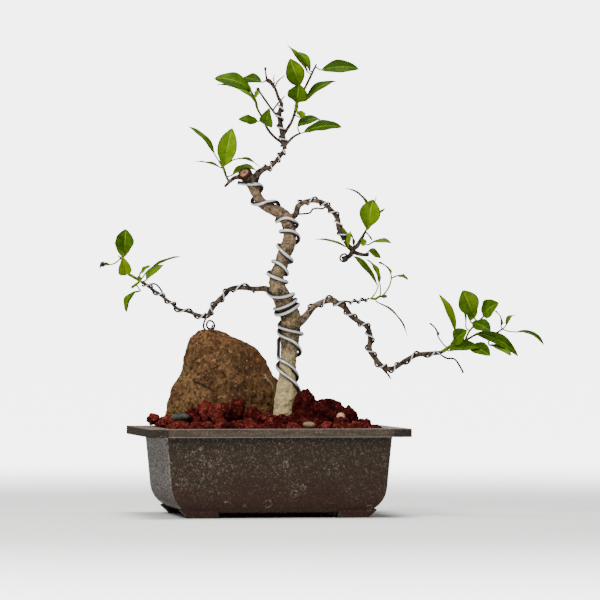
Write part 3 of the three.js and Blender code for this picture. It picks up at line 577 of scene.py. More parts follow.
def makeLeafTop():
    material, tree, shader, spot = newMaterial("leafTop", {"Specular IOR Level": 0.05})
    sheet = addNode(tree, "SeparateXYZ", {"Vector": addNode(tree, "UVMap").outputs["UV"]}).outputs
    across, along = sheet["X"], sheet["Y"]
    cloud = addCloud(tree, spot, *leafLook["cloud"])
    tone = addMath(tree, "ADD", attributeValue(tree, "tone"), spread(tree, cloud, -0.14, 0.14))
    # Painted shade on one half of the blade and painted light on the other
    tone = addMath(tree, "ADD", tone, addRange(tree, across, 0.48, 0.52, -leafLook["halves"],
                                               leafLook["halves"]))
    colour = addRamp(tree, tone, [(0.0, leafLook["dark"]), (0.45, leafLook["middle"]),
                                  (1.0, leafLook["light"])])
    fromRib = addMath(tree, "ABSOLUTE", addMath(tree, "SUBTRACT", across, 0.5))
    slant = addMath(tree, "SUBTRACT", times(tree, along, leafLook["sideVeins"]),
                    times(tree, fromRib, leafLook["veinSlant"]))
    vein = addRange(tree, addMath(tree, "PINGPONG", slant, 0.5), 0.12, 0, 0, 0.4)
    rib = addRange(tree, fromRib, *leafLook["ribEdge"])
    edge = addMath(tree, "MAXIMUM", addRange(tree, fromRib, 0.41, 0.5), addRange(tree, along, 0.88, 1))
    colour = layColours(tree, colour, (leafLook["edge"], edge, 0.8), (leafLook["rib"], vein, 1),
                        (leafLook["rib"], rib, addRange(tree, tone, 0.1, 0.7, 0.45, 0.95)))
    tree.links.new(colour, shader.inputs["Base Color"])
    tree.links.new(spread(tree, cloud, 0.45, 0.6), shader.inputs["Roughness"])
    lift = addMath(tree, "ADD", times(tree, vein, 1.2), times(tree, rib, -1))
    addBump(tree, shader, lift, 0.5, 0.35)
    return material


def makeLeafUnder():
    material, tree, shader, spot = newMaterial("leafUnder", {
        "Roughness": 0.7, "Specular IOR Level": 0.12})
    cloud = addCloud(tree, spot, *leafLook["underCloud"])
    tone = spread(tree, attributeValue(tree, "tone"), 0.1, 0.9)
    colour = addMix(tree, tone, leafLook["underDark"], leafLook["underPale"])
    colour = layColours(tree, colour, (leafLook["middle"], cloud, 0.3))
    tree.links.new(colour, shader.inputs["Base Color"])
    return material


# Twigs: tone 0 is dark bark, 1 is a green stalk
twigLook = {
    "bark": (paint(24, 19, 15), paint(86, 72, 58)),
    "green": (paint(70, 92, 6), paint(116, 138, 24)),
    "cloud": (300, 0.42, 0.58),
}


def makeTwig():
    material, tree, shader, spot = newMaterial("twigFinish", {
        "Roughness": 0.75, "Specular IOR Level": 0.25})
    cloud = addCloud(tree, spot, *twigLook["cloud"])
    woody = addMix(tree, cloud, *twigLook["bark"])
    green = addMix(tree, cloud, *twigLook["green"])
    colour = addMix(tree, addRange(tree, attributeValue(tree, "tone"), 0.35, 0.65), woody, green)
    tree.links.new(colour, shader.inputs["Base Color"])
    addBump(tree, shader, cloud, 0.4, 0.3)
    return material


# Bright annealed wire, tarnished and a little dirty in patches, with painted shade on the side that lies on
# the bark
wireLook = {
    "bright": paint(250, 250, 250),
    "dull": paint(196, 194, 190),
    "dirt": paint(22, 18, 16),
    "cloud": (260, 0.5, 0.75),
}


def makeWireFinish():
    material, tree, shader, spot = newMaterial("wireFinish", {"Metallic": 0.12})
    cloud = addCloud(tree, spot, *wireLook["cloud"])
    # Painted shade on the side towards the limb, joined with a little real dirt in patches
    dirt = addMath(tree, "MAXIMUM", attributeValue(tree, "dirt"), times(tree, cloud, 0.15))
    colour = layColours(tree, wireLook["bright"], (wireLook["dull"], cloud, 0.6),
                        (wireLook["dirt"], dirt, 1))
    tree.links.new(colour, shader.inputs["Base Color"])
    tree.links.new(spread(tree, dirt, 0.3, 0.75), shader.inputs["Roughness"])
    addBump(tree, shader, addNoise(tree, spot, 1500, 3)["Fac"], 0.15, 0.1)
    return material


# Stone: brown with darker and paler patches, ochre low on the left, rust high on the right,
# a net of fine cracks, two long cracks, a pale ridge and painted shade in its hollows
stoneLook = {
    "brown": paint(100, 70, 44),
    "pale": paint(130, 98, 66),
    "dark": paint(42, 28, 18),
    "ochre": paint(122, 103, 62),
    "rust": paint(120, 62, 34),
    "crack": paint(22, 16, 12),
    "speck": paint(190, 166, 128),
    "clouds": [  # wide, middle, fine, light
        (34, 0.35, 0.65), (120, 0.45, 0.6), (300, 0.48, 0.62), (360, 0.55, 0.7),
    ],
    "specks": (420, 0.09, 0.45),
    "ochreSide": (34, 4),  # in from the stone's left end
    "rustSide": (-34, -16),  # in from its right end
    "rustLevels": (140, 155),
    "rustTop": (-16, -4),  # down from its top
    "shadows": [((-22, -6, 155), 22), ((-60, -6, 135), 14), ((-30, -8, 122), 16)],
    "cracks": [((-74.4, 14, 134.2), (-57, 14, 124.6)), ((-60, 14, 145), (-50.4, 14, 149.5))],
    "crackWidth": 1.2,
    "ridge": ((-3.6, 20, 140), (8.9, 20, 119)),
    "ridgeWidth": 1.5,
    "voxel": 1.3,
    "relief": [("CLOUDS", 30, 4), ("CLOUDS", 11, 2.4), ("VORONOI", 8, 1.6), ("CLOUDS", 3.5, 1)],
}


def makeStoneFinish():
    look = stoneLook
    material, tree, shader, spot = newMaterial("stoneFinish", {
        "Roughness": 0.9, "Specular IOR Level": 0.15})
    split = addNode(tree, "SeparateXYZ", {"Vector": spot}).outputs
    wide, middle, fine, light = (addCloud(tree, spot, *row) for row in look["clouds"])
    low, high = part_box("stone")
    leftSide = addLevels(tree, split["X"], [low.x / mm + inward for inward in look["ochreSide"]])
    rightSide = addLevels(tree, split["X"], [high.x / mm + inward for inward in look["rustSide"]])
    rightTop = times(tree, rightSide, addLevels(tree, split["Z"], look["rustLevels"]))
    top = addLevels(tree, split["Z"], [high.z / mm + inward for inward in look["rustTop"]])
    rust = times(tree, addMath(tree, "MAXIMUM", rightTop, top), addMath(tree, "ADD", middle, 0.2))
    # Painted shade in the hollows of the surface, drawn in the crack colour
    hollow = addRange(tree, attributeValue(tree, "relief"), -0.1, -0.6)
    bent = bendPlace(tree, spot, addNoise(tree, spot, 55, 4), 0.02)
    cells = addCells(tree, bent, 52, feature="DISTANCE_TO_EDGE")["Distance"]
    crack = times(tree, addRange(tree, cells, 0.035, 0), wide)
    jagged = bendPlace(tree, spot, addNoise(tree, spot, 170, 3), 0.009, 0.5)
    colour = layColours(
        tree, addMix(tree, wide, look["brown"], look["pale"]),
        (look["dark"], middle, 0.35),
        *[(look["dark"], addSpotMask(tree, spot, *shadow), 0.4) for shadow in look["shadows"]],
        (look["ochre"], leftSide, times(tree, wide, 0.7)),
        (look["rust"], rust, 0.6),
        (look["crack"], hollow, 0.8),
        (look["crack"], crack, 0.75),
        (look["dark"], fine, 0.75),
        (look["speck"], light, 0.5),
        (look["speck"], addSpecks(tree, spot, *look["specks"]), 0.6),
        *[(look["crack"], addLineMask(tree, jagged, *ends, look["crackWidth"]), 0.75)
          for ends in look["cracks"]],
        (look["speck"], addLineMask(tree, jagged, *look["ridge"], look["ridgeWidth"]), 0.5))
    tree.links.new(colour, shader.inputs["Base Color"])
    grain = addNoise(tree, spot, 600, 8, Roughness=0.7)["Fac"]
    addBump(tree, shader, addMath(tree, "SUBTRACT", grain, crack), 0.9, 1.4)
    return material


def makeStone():
    stone = copyOfNode("stone", "standingStone")
    applyModifier(stone, "REMESH", mode="VOXEL", voxel_size=stoneLook["voxel"] * mm)
    applyModifier(stone, "SMOOTH", factor=0.6, iterations=7)
    roughen(stone, stoneLook["relief"])
    coat(stone, makeStoneFinish())
    finishPiece(stone, "stone", ["stone"], smooth=80)
    print("stone done")


# Pot: brown plastic, with lime specks, drop rings, a fine crackle, pale stains and a grey left end, painted
# shade under the rim and a painted highlight on the rim's top edge.
# Heights are from its feet, and lengths from its middle.
potLook = {
    "low": paint(53, 33, 28),
    "high": paint(50, 39, 29),
    "dust": paint(82, 69, 55),
    "rim": paint(82, 73, 64),
    "rimEnd": paint(46, 38, 33),
    "rimStreak": paint(48, 41, 35),
    "rimTop": paint(150, 132, 120),
    "end": paint(148, 144, 143),
    "endDark": paint(74, 71, 69),
    "lime": paint(176, 164, 144),
    "shade": paint(20, 15, 12),
    "clouds": [(38, 0.35, 0.65), (520, 0.45, 0.68)],  # wide, fine
    "endCloud": (480, 0.4, 0.62),
    "endStretch": (1, 0.5, 1),
    "rimCloud": (160, 0.35, 0.65),
    "rimStretch": (0.25, 1, 2.5),
    "bodyLevels": (18, 50),
    "wander": 8,  # how far the body's levels move up and down
    "limeLevels": (15, 50),
    "endLevels": (8, 45),
    "shadeLevels": (72.5, 78),  # under the rim
    "rimLevels": (79.0, 79.6),
    "rimLowEdge": (80.8, 79.8),
    "rimTopEdge": (87.2, 87.8),
    "rimMiddle": (112.5, 110.5),
    "edge": 0.7,  # width of the eased edges
}


def makePotFinish():
    look = potLook
    material, tree, shader, spot = newMaterial("potFinish", {"Specular IOR Level": 0.2})
    facing = addNode(tree, "SeparateXYZ", {"Vector": addNode(tree, "TexCoord").outputs["Normal"]})
    isEnd = addRange(tree, facing.outputs["X"], -0.55, -0.8)
    spot = fromPotMiddle(tree, spot)
    split = addNode(tree, "SeparateXYZ", {"Vector": spot}).outputs
    x, z = split["X"], split["Z"]
    wide, fine = (addCloud(tree, spot, *row) for row in look["clouds"])
    height = addMath(tree, "ADD", z, spread(tree, wide, -look["wander"] * mm, look["wander"] * mm))
    grit = addCloud(tree, stretchPlace(tree, spot, look["endStretch"]), *look["endCloud"])
    colour = layColours(
        tree, addMix(tree, addLevels(tree, height, look["bodyLevels"]), look["low"], look["high"]),
        (look["dust"], fine, 0.3),
        (look["shade"], addLevels(tree, z, look["shadeLevels"]), 0.85),
        (addMix(tree, grit, look["endDark"], look["end"]), isEnd,
         addLevels(tree, z, look["endLevels"], 0.55, 0.85)))
    isRim = addLevels(tree, z, look["rimLevels"])
    rimMiddle = addLevels(tree, addMath(tree, "ABSOLUTE", x), look["rimMiddle"])
    streak = addCloud(tree, stretchPlace(tree, spot, look["rimStretch"]), *look["rimCloud"])
    # Painted highlight along the rim's top edge, and lime along its lower edge between the ears
    edges = addMath(tree, "MAXIMUM", addLevels(tree, z, look["rimTopEdge"]),
                    times(tree, addLevels(tree, z, look["rimLowEdge"]), rimMiddle))
    rimColour = layColours(
        tree, addMix(tree, rimMiddle, look["rimEnd"], look["rim"]),
        (look["rimStreak"], streak, 0.5),
        (look["rimTop"], edges, 0.6))
    dense = addLevels(tree, height, look["limeLevels"], 0.25, 1)
    flecks = addNoise(tree, spot, 620, 8, Roughness=0.8)["Fac"]
    lime = times(tree, addRange(tree, flecks, 0.545, 0.65), dense)
    lime = times(tree, lime, spread(tree, wide, 0.5, 1))
    bend = addNoise(tree, spot, 260, 3)
    bent = bendPlace(tree, spot, bend, 0.006)
    crackle = addCells(tree, bent, 340, feature="DISTANCE_TO_EDGE")["Distance"]
    chain = times(tree, addRange(tree, crackle, 0.08, 0.02), addRange(tree, bend["Fac"], 0.52, 0.62))
    drops = addCells(tree, bent, 120)
    draw = addNode(tree, "SeparateColor", {"Color": drops["Color"]}).outputs
    radius = spread(tree, draw["Green"], 0.14, 0.42)
    off = addMath(tree, "ABSOLUTE", addMath(tree, "SUBTRACT", drops["Distance"], radius))
    ring = times(tree, addRange(tree, off, 0.08, 0.01), addMath(tree, "LESS_THAN", draw["Red"], 0.13))
    ring = times(tree, ring, addRange(tree, flecks, 0.42, 0.6))
    colour = layColours(
        tree, addMix(tree, isRim, colour, rimColour),
        (look["lime"], lime, 0.65),
        (look["shade"], addRange(tree, flecks, 0.46, 0.36), 0.7),
        (look["lime"], chain, times(tree, dense, spread(tree, isRim, 0.24, 0.08))),
        (look["lime"], ring, 0.5))
    tree.links.new(colour, shader.inputs["Base Color"])
    worn = addMath(tree, "MAXIMUM", spread(tree, fine, 0.42, 0.7), times(tree, isEnd, 0.95))
    tree.links.new(worn, shader.inputs["Roughness"])
    addBump(tree, shader, addMath(tree, "ADD", fine, lime), 0.25, 0.3)
    return material


# The solid's own form with its edges eased
def makePot():
    pot = copyOfNode("pot", "potShell")
    editAll(pot)
    bpy.ops.mesh.dissolve_limited(angle_limit=math.radians(1))
    bpy.ops.object.mode_set(mode="OBJECT")
    applyModifier(pot, "BEVEL", width=potLook["edge"] * mm, segments=2, limit_method="ANGLE",
                  angle_limit=math.radians(40), use_clamp_overlap=True)
    coat(pot, makePotFinish())
    finishPiece(pot, "pot_plastic", ["pot"], smooth=32)
    print("pot done")


# Soil and drain nets: the solids, with their own finish
soilLook = {
    "dark": paint(38, 28, 22),
    "pale": paint(74, 56, 42),
    "grit": paint(120, 104, 84),
}
netLook = {
    "black": paint(30, 30, 31),
    "dust": paint(66, 60, 54),
}


def makeSoilFinish():
    material, tree, shader, spot = newMaterial("soilFinish", {"Roughness": 0.95})
    cloud = addCloud(tree, spot, 260, 0.4, 0.6)
    colour = addMix(tree, cloud, soilLook["dark"], soilLook["pale"])
    colour = addMix(tree, addSpecks(tree, spot, 420, 0.25, 0.7), colour, soilLook["grit"])
    tree.links.new(colour, shader.inputs["Base Color"])
    addBump(tree, shader, cloud, 0.9, 1.5)
    return material


def makeNetFinish():
    material, tree, shader, spot = newMaterial("netFinish", {"Roughness": 0.6})
    dust = addCloud(tree, spot, 300, 0.5, 0.7)
    tree.links.new(addMix(tree, dust, netLook["black"], netLook["dust"]), shader.inputs["Base Color"])
    return material


def dressNodes(material, *nodes):
    for node in nodes:
        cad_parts[node].material_slots[0].material = material


# Tree wood: middle lines of the limbs, each row x, y, z, radius
wood = {
    "trunk": [
        [18.5, -8, 52, 7], [18.5, -8, 72, 12.5], [18.5, -8, 100, 12.6], [19.3, -8, 115, 11.8],
        [20, -8, 127, 10.7], [20, -8, 140, 8.4], [21.5, -8, 154, 8.3], [22.5, -8, 167, 9],
        [23, -8.5, 178, 9.5], [24, -9.5, 189, 10], [23, -11, 199, 10], [20, -12.5, 206, 10],
        [17.5, -13.5, 212, 10], [13.5, -15, 220.5, 9.3], [10, -16, 231, 7.8], [10.5, -16, 241, 7],
        [14.5, -15, 250, 7], [17, -14, 260, 7.3], [21, -12.5, 269, 7.2], [23, -11, 279, 6.7],
        [21.5, -9, 288.5, 6.9], [19, -8, 296, 7], [13, -7, 302, 6.4], [3, -6, 307, 5.8],
        [-6, -5, 313, 5.3], [-11, -5, 322, 5.2], [-14, -5, 329, 5.8], [-19, -6.5, 336, 6.4],
        [-22.2, -12, 341, 6.6],
    ],
    "left": [
        [17, -13, 210, 4.5], [8, -8, 218, 3.6], [-1, -2, 226, 3.3], [-12, 2, 226, 2.7],
        [-24, 5, 227.5, 2.7], [-37, 8, 226, 2.7], [-42, 9, 221, 2.7], [-50, 11, 213, 2.7],
        [-56, 12, 205.5, 2.5], [-60, 13, 198.5, 2.4], [-68, 12.5, 199.5, 2.3], [-77.5, 11, 203, 1.8],
        [-90, 8.5, 206.5, 1.7], [-94.5, 7, 211, 1.7], [-101, 6, 215.5, 1.7], [-107, 5, 220.5, 1.7],
        [-114, 3, 225, 1.7], [-121, 1, 230.5, 1.7], [-126, 0, 233.2, 1.7],
    ],
    "upperRight": [
        [18, -8, 294, 4.5], [24, -7.5, 297, 3.6], [29, -7, 301, 3.3], [31, -7, 308.5, 2.9],
        [38, -8, 313, 2.7], [47, -9, 314.2, 2.5], [56, -10, 312, 2.5], [61.3, -11, 307.5, 2.4],
        [66.6, -12, 302, 2.5], [71, -13, 295, 2.7], [71.4, -14, 288, 2.7], [74.6, -14.5, 281, 2.8],
        [77.5, -15, 274.5, 2.8],
    ],
    "lowerRight": [
        [23, -9.5, 187, 5.5], [33, -11, 193.3, 4.5], [40, -12, 200, 3.8], [45, -13, 206.5, 3.3],
        [54, -15, 212.3, 3.1], [64.3, -16, 215, 3.3], [71, -17, 211.5, 3], [78, -18, 207, 2.8],
        [83.5, -18, 199.4, 2.8], [91.9, -19, 193.3, 2.7], [98.8, -20, 189, 2.7], [102.2, -20, 183, 2.8],
        [103, -20, 174.4, 2.8], [102.2, -20, 165.8, 2.7], [107.4, -20, 157.2, 2.7],
        [114.3, -19, 149.2, 2.7], [121, -18, 146.3, 2.7], [128, -17, 147.7, 2.5],
        [136.7, -16, 153.7, 2.5], [148.7, -14, 159.8, 2.4], [160.8, -12, 161.5, 2.4],
        [172.8, -10, 162.3, 2.4],
    ],
    "lowerTwig": [
        [70, -17, 212, 1.8], [77, -18, 213.6, 1.3], [84.4, -19, 213, 1.2], [93.4, -20, 214.2, 1.1],
        [102, -21, 216.4, 1.1],
    ],
    "crown": [
        [-14, -5, 330, 5], [-9.2, -5, 341, 3.6], [-2.8, -4.5, 346, 2.8], [3, -4, 347.6, 2.4],
        [9.9, -4, 355, 2.3], [15, -4, 361.3, 2.2], [17.6, -4, 365, 2.2],
    ],
    "crownLeft": [
        [-20, -5, 337, 3], [-31, -5, 337.5, 2.2], [-37, -5.5, 333.5, 1.8], [-42.4, -6, 328, 1.5],
    ],
    "crownLeftShoot": [[-38, -5.5, 333.2, 1.5], [-39.5, -5.8, 336, 1.45], [-40.7, -6.1, 338.4, 1.4]],
    "lowerRightTail": [
        [114.5, -19, 149, 1.5], [118, -20, 143.6, 1.3], [121.5, -21, 139.6, 1.1],
        [123.3, -21.5, 136.2, 0.7],
    ],
}
cutStub = {
    "radius": 5.6,
    "rim": 1.9,
    "depth": 3,
    "sink": 0.4,
    "faceRelief": 0.5,
    "rimRelief": 2,
}
woodBuild = {
    "voxel": 0.65,
    "relief": [("CLOUDS", 9, 1.8), ("VORONOI", 4, 1.1), ("CLOUDS", 1.8, 0.8)],
    "steps": 240,  # points along a limb, to tell the trunk from the branches
    "blend": 2,  # length over which bark turns from the trunk's to a branch's
    "branchSmoothing": 0.72,
}


# Points along the limbs, with the radius there
def makeLimbTree(names):
    steps = woodBuild["steps"]
    spots = [(pointOn(wood[name], step / steps), radiusOn(wood[name], step / steps))
             for name in names for step in range(steps + 1)]
    return searchTree([spot for spot, radius in spots]), [radius * mm for spot, radius in spots]


def awayFrom(limbTree, place):
    points, radii = limbTree
    _, index, distance = points.find(place)
    return distance - radii[index]


# Marks each vertex, 0 on the trunk to 1 on a branch, and lets the branches stay smoother
def markBranches(piece):
    trunkTree = makeLimbTree(["trunk"])
    branchTree = makeLimbTree([name for name in wood if name != "trunk"])
    blend = woodBuild["blend"] * mm
    shares = []
    for vertex in piece.data.vertices:
        nearer = awayFrom(trunkTree, vertex.co) - awayFrom(branchTree, vertex.co)
        shares.append(min(max(0.5 + nearer / blend, 0), 1))
    setFloat(piece, "branch", shares)
    rough = piece.vertex_groups.new(name="rough")
    for index, share in enumerate(shares):
        rough.add([index], 1 - woodBuild["branchSmoothing"] * share, "REPLACE")


# Sawn face at the trunk's upper end, with a low rim of bark. Its cut attribute is largest in the middle.
def makeCutStub():
    rows = wood["trunk"]
    end, along = pointOn(rows, 1), tangentOn(rows, 1)
    deselect()
    bpy.ops.mesh.primitive_cylinder_add(vertices=48, radius=cutStub["radius"], depth=cutStub["depth"],
                                        end_fill_type="TRIFAN")
    face = added("cutFace")
    bpy.ops.mesh.primitive_torus_add(major_radius=cutStub["radius"], minor_radius=cutStub["rim"],
                                     major_segments=48, minor_segments=12)
    rim = added("cutRim")
    place = (treePlace @ Matrix.Translation(end - along * cutStub["sink"])
             @ along.to_track_quat("Z", "Y").to_matrix().to_4x4())
    for piece, relief in ((face, cutStub["faceRelief"]), (rim, cutStub["rimRelief"])):
        applyModifier(piece, "SUBSURF", subdivision_type="SIMPLE", levels=2)
        setFloat(piece, "cut", [max(1.2 - 0.7 * vertex.co.xy.length / cutStub["radius"], 0.48)
                                for vertex in piece.data.vertices])
        setFloat(piece, "branch", 1)
        piece.data.transform(place)
        roughen(piece, [("CLOUDS", 3, relief)])
    return [face, rim]


def makeWood():
    trunk = joined([drawLimb(name, rows) for name, rows in wood.items()], "treeWood")
    applyModifier(trunk, "REMESH", mode="VOXEL", voxel_size=woodBuild["voxel"] * mm)
    applyModifier(trunk, "SMOOTH", factor=0.5, iterations=3)
    markBranches(trunk)
    roughen(trunk, woodBuild["relief"], vertex_group="rough")
    trunk = joined([trunk] + makeCutStub(), "treeWood")
    coat(trunk, makeBark())
    finishPiece(trunk, "bark", ["trunk"], smooth=80)
    print("wood done")


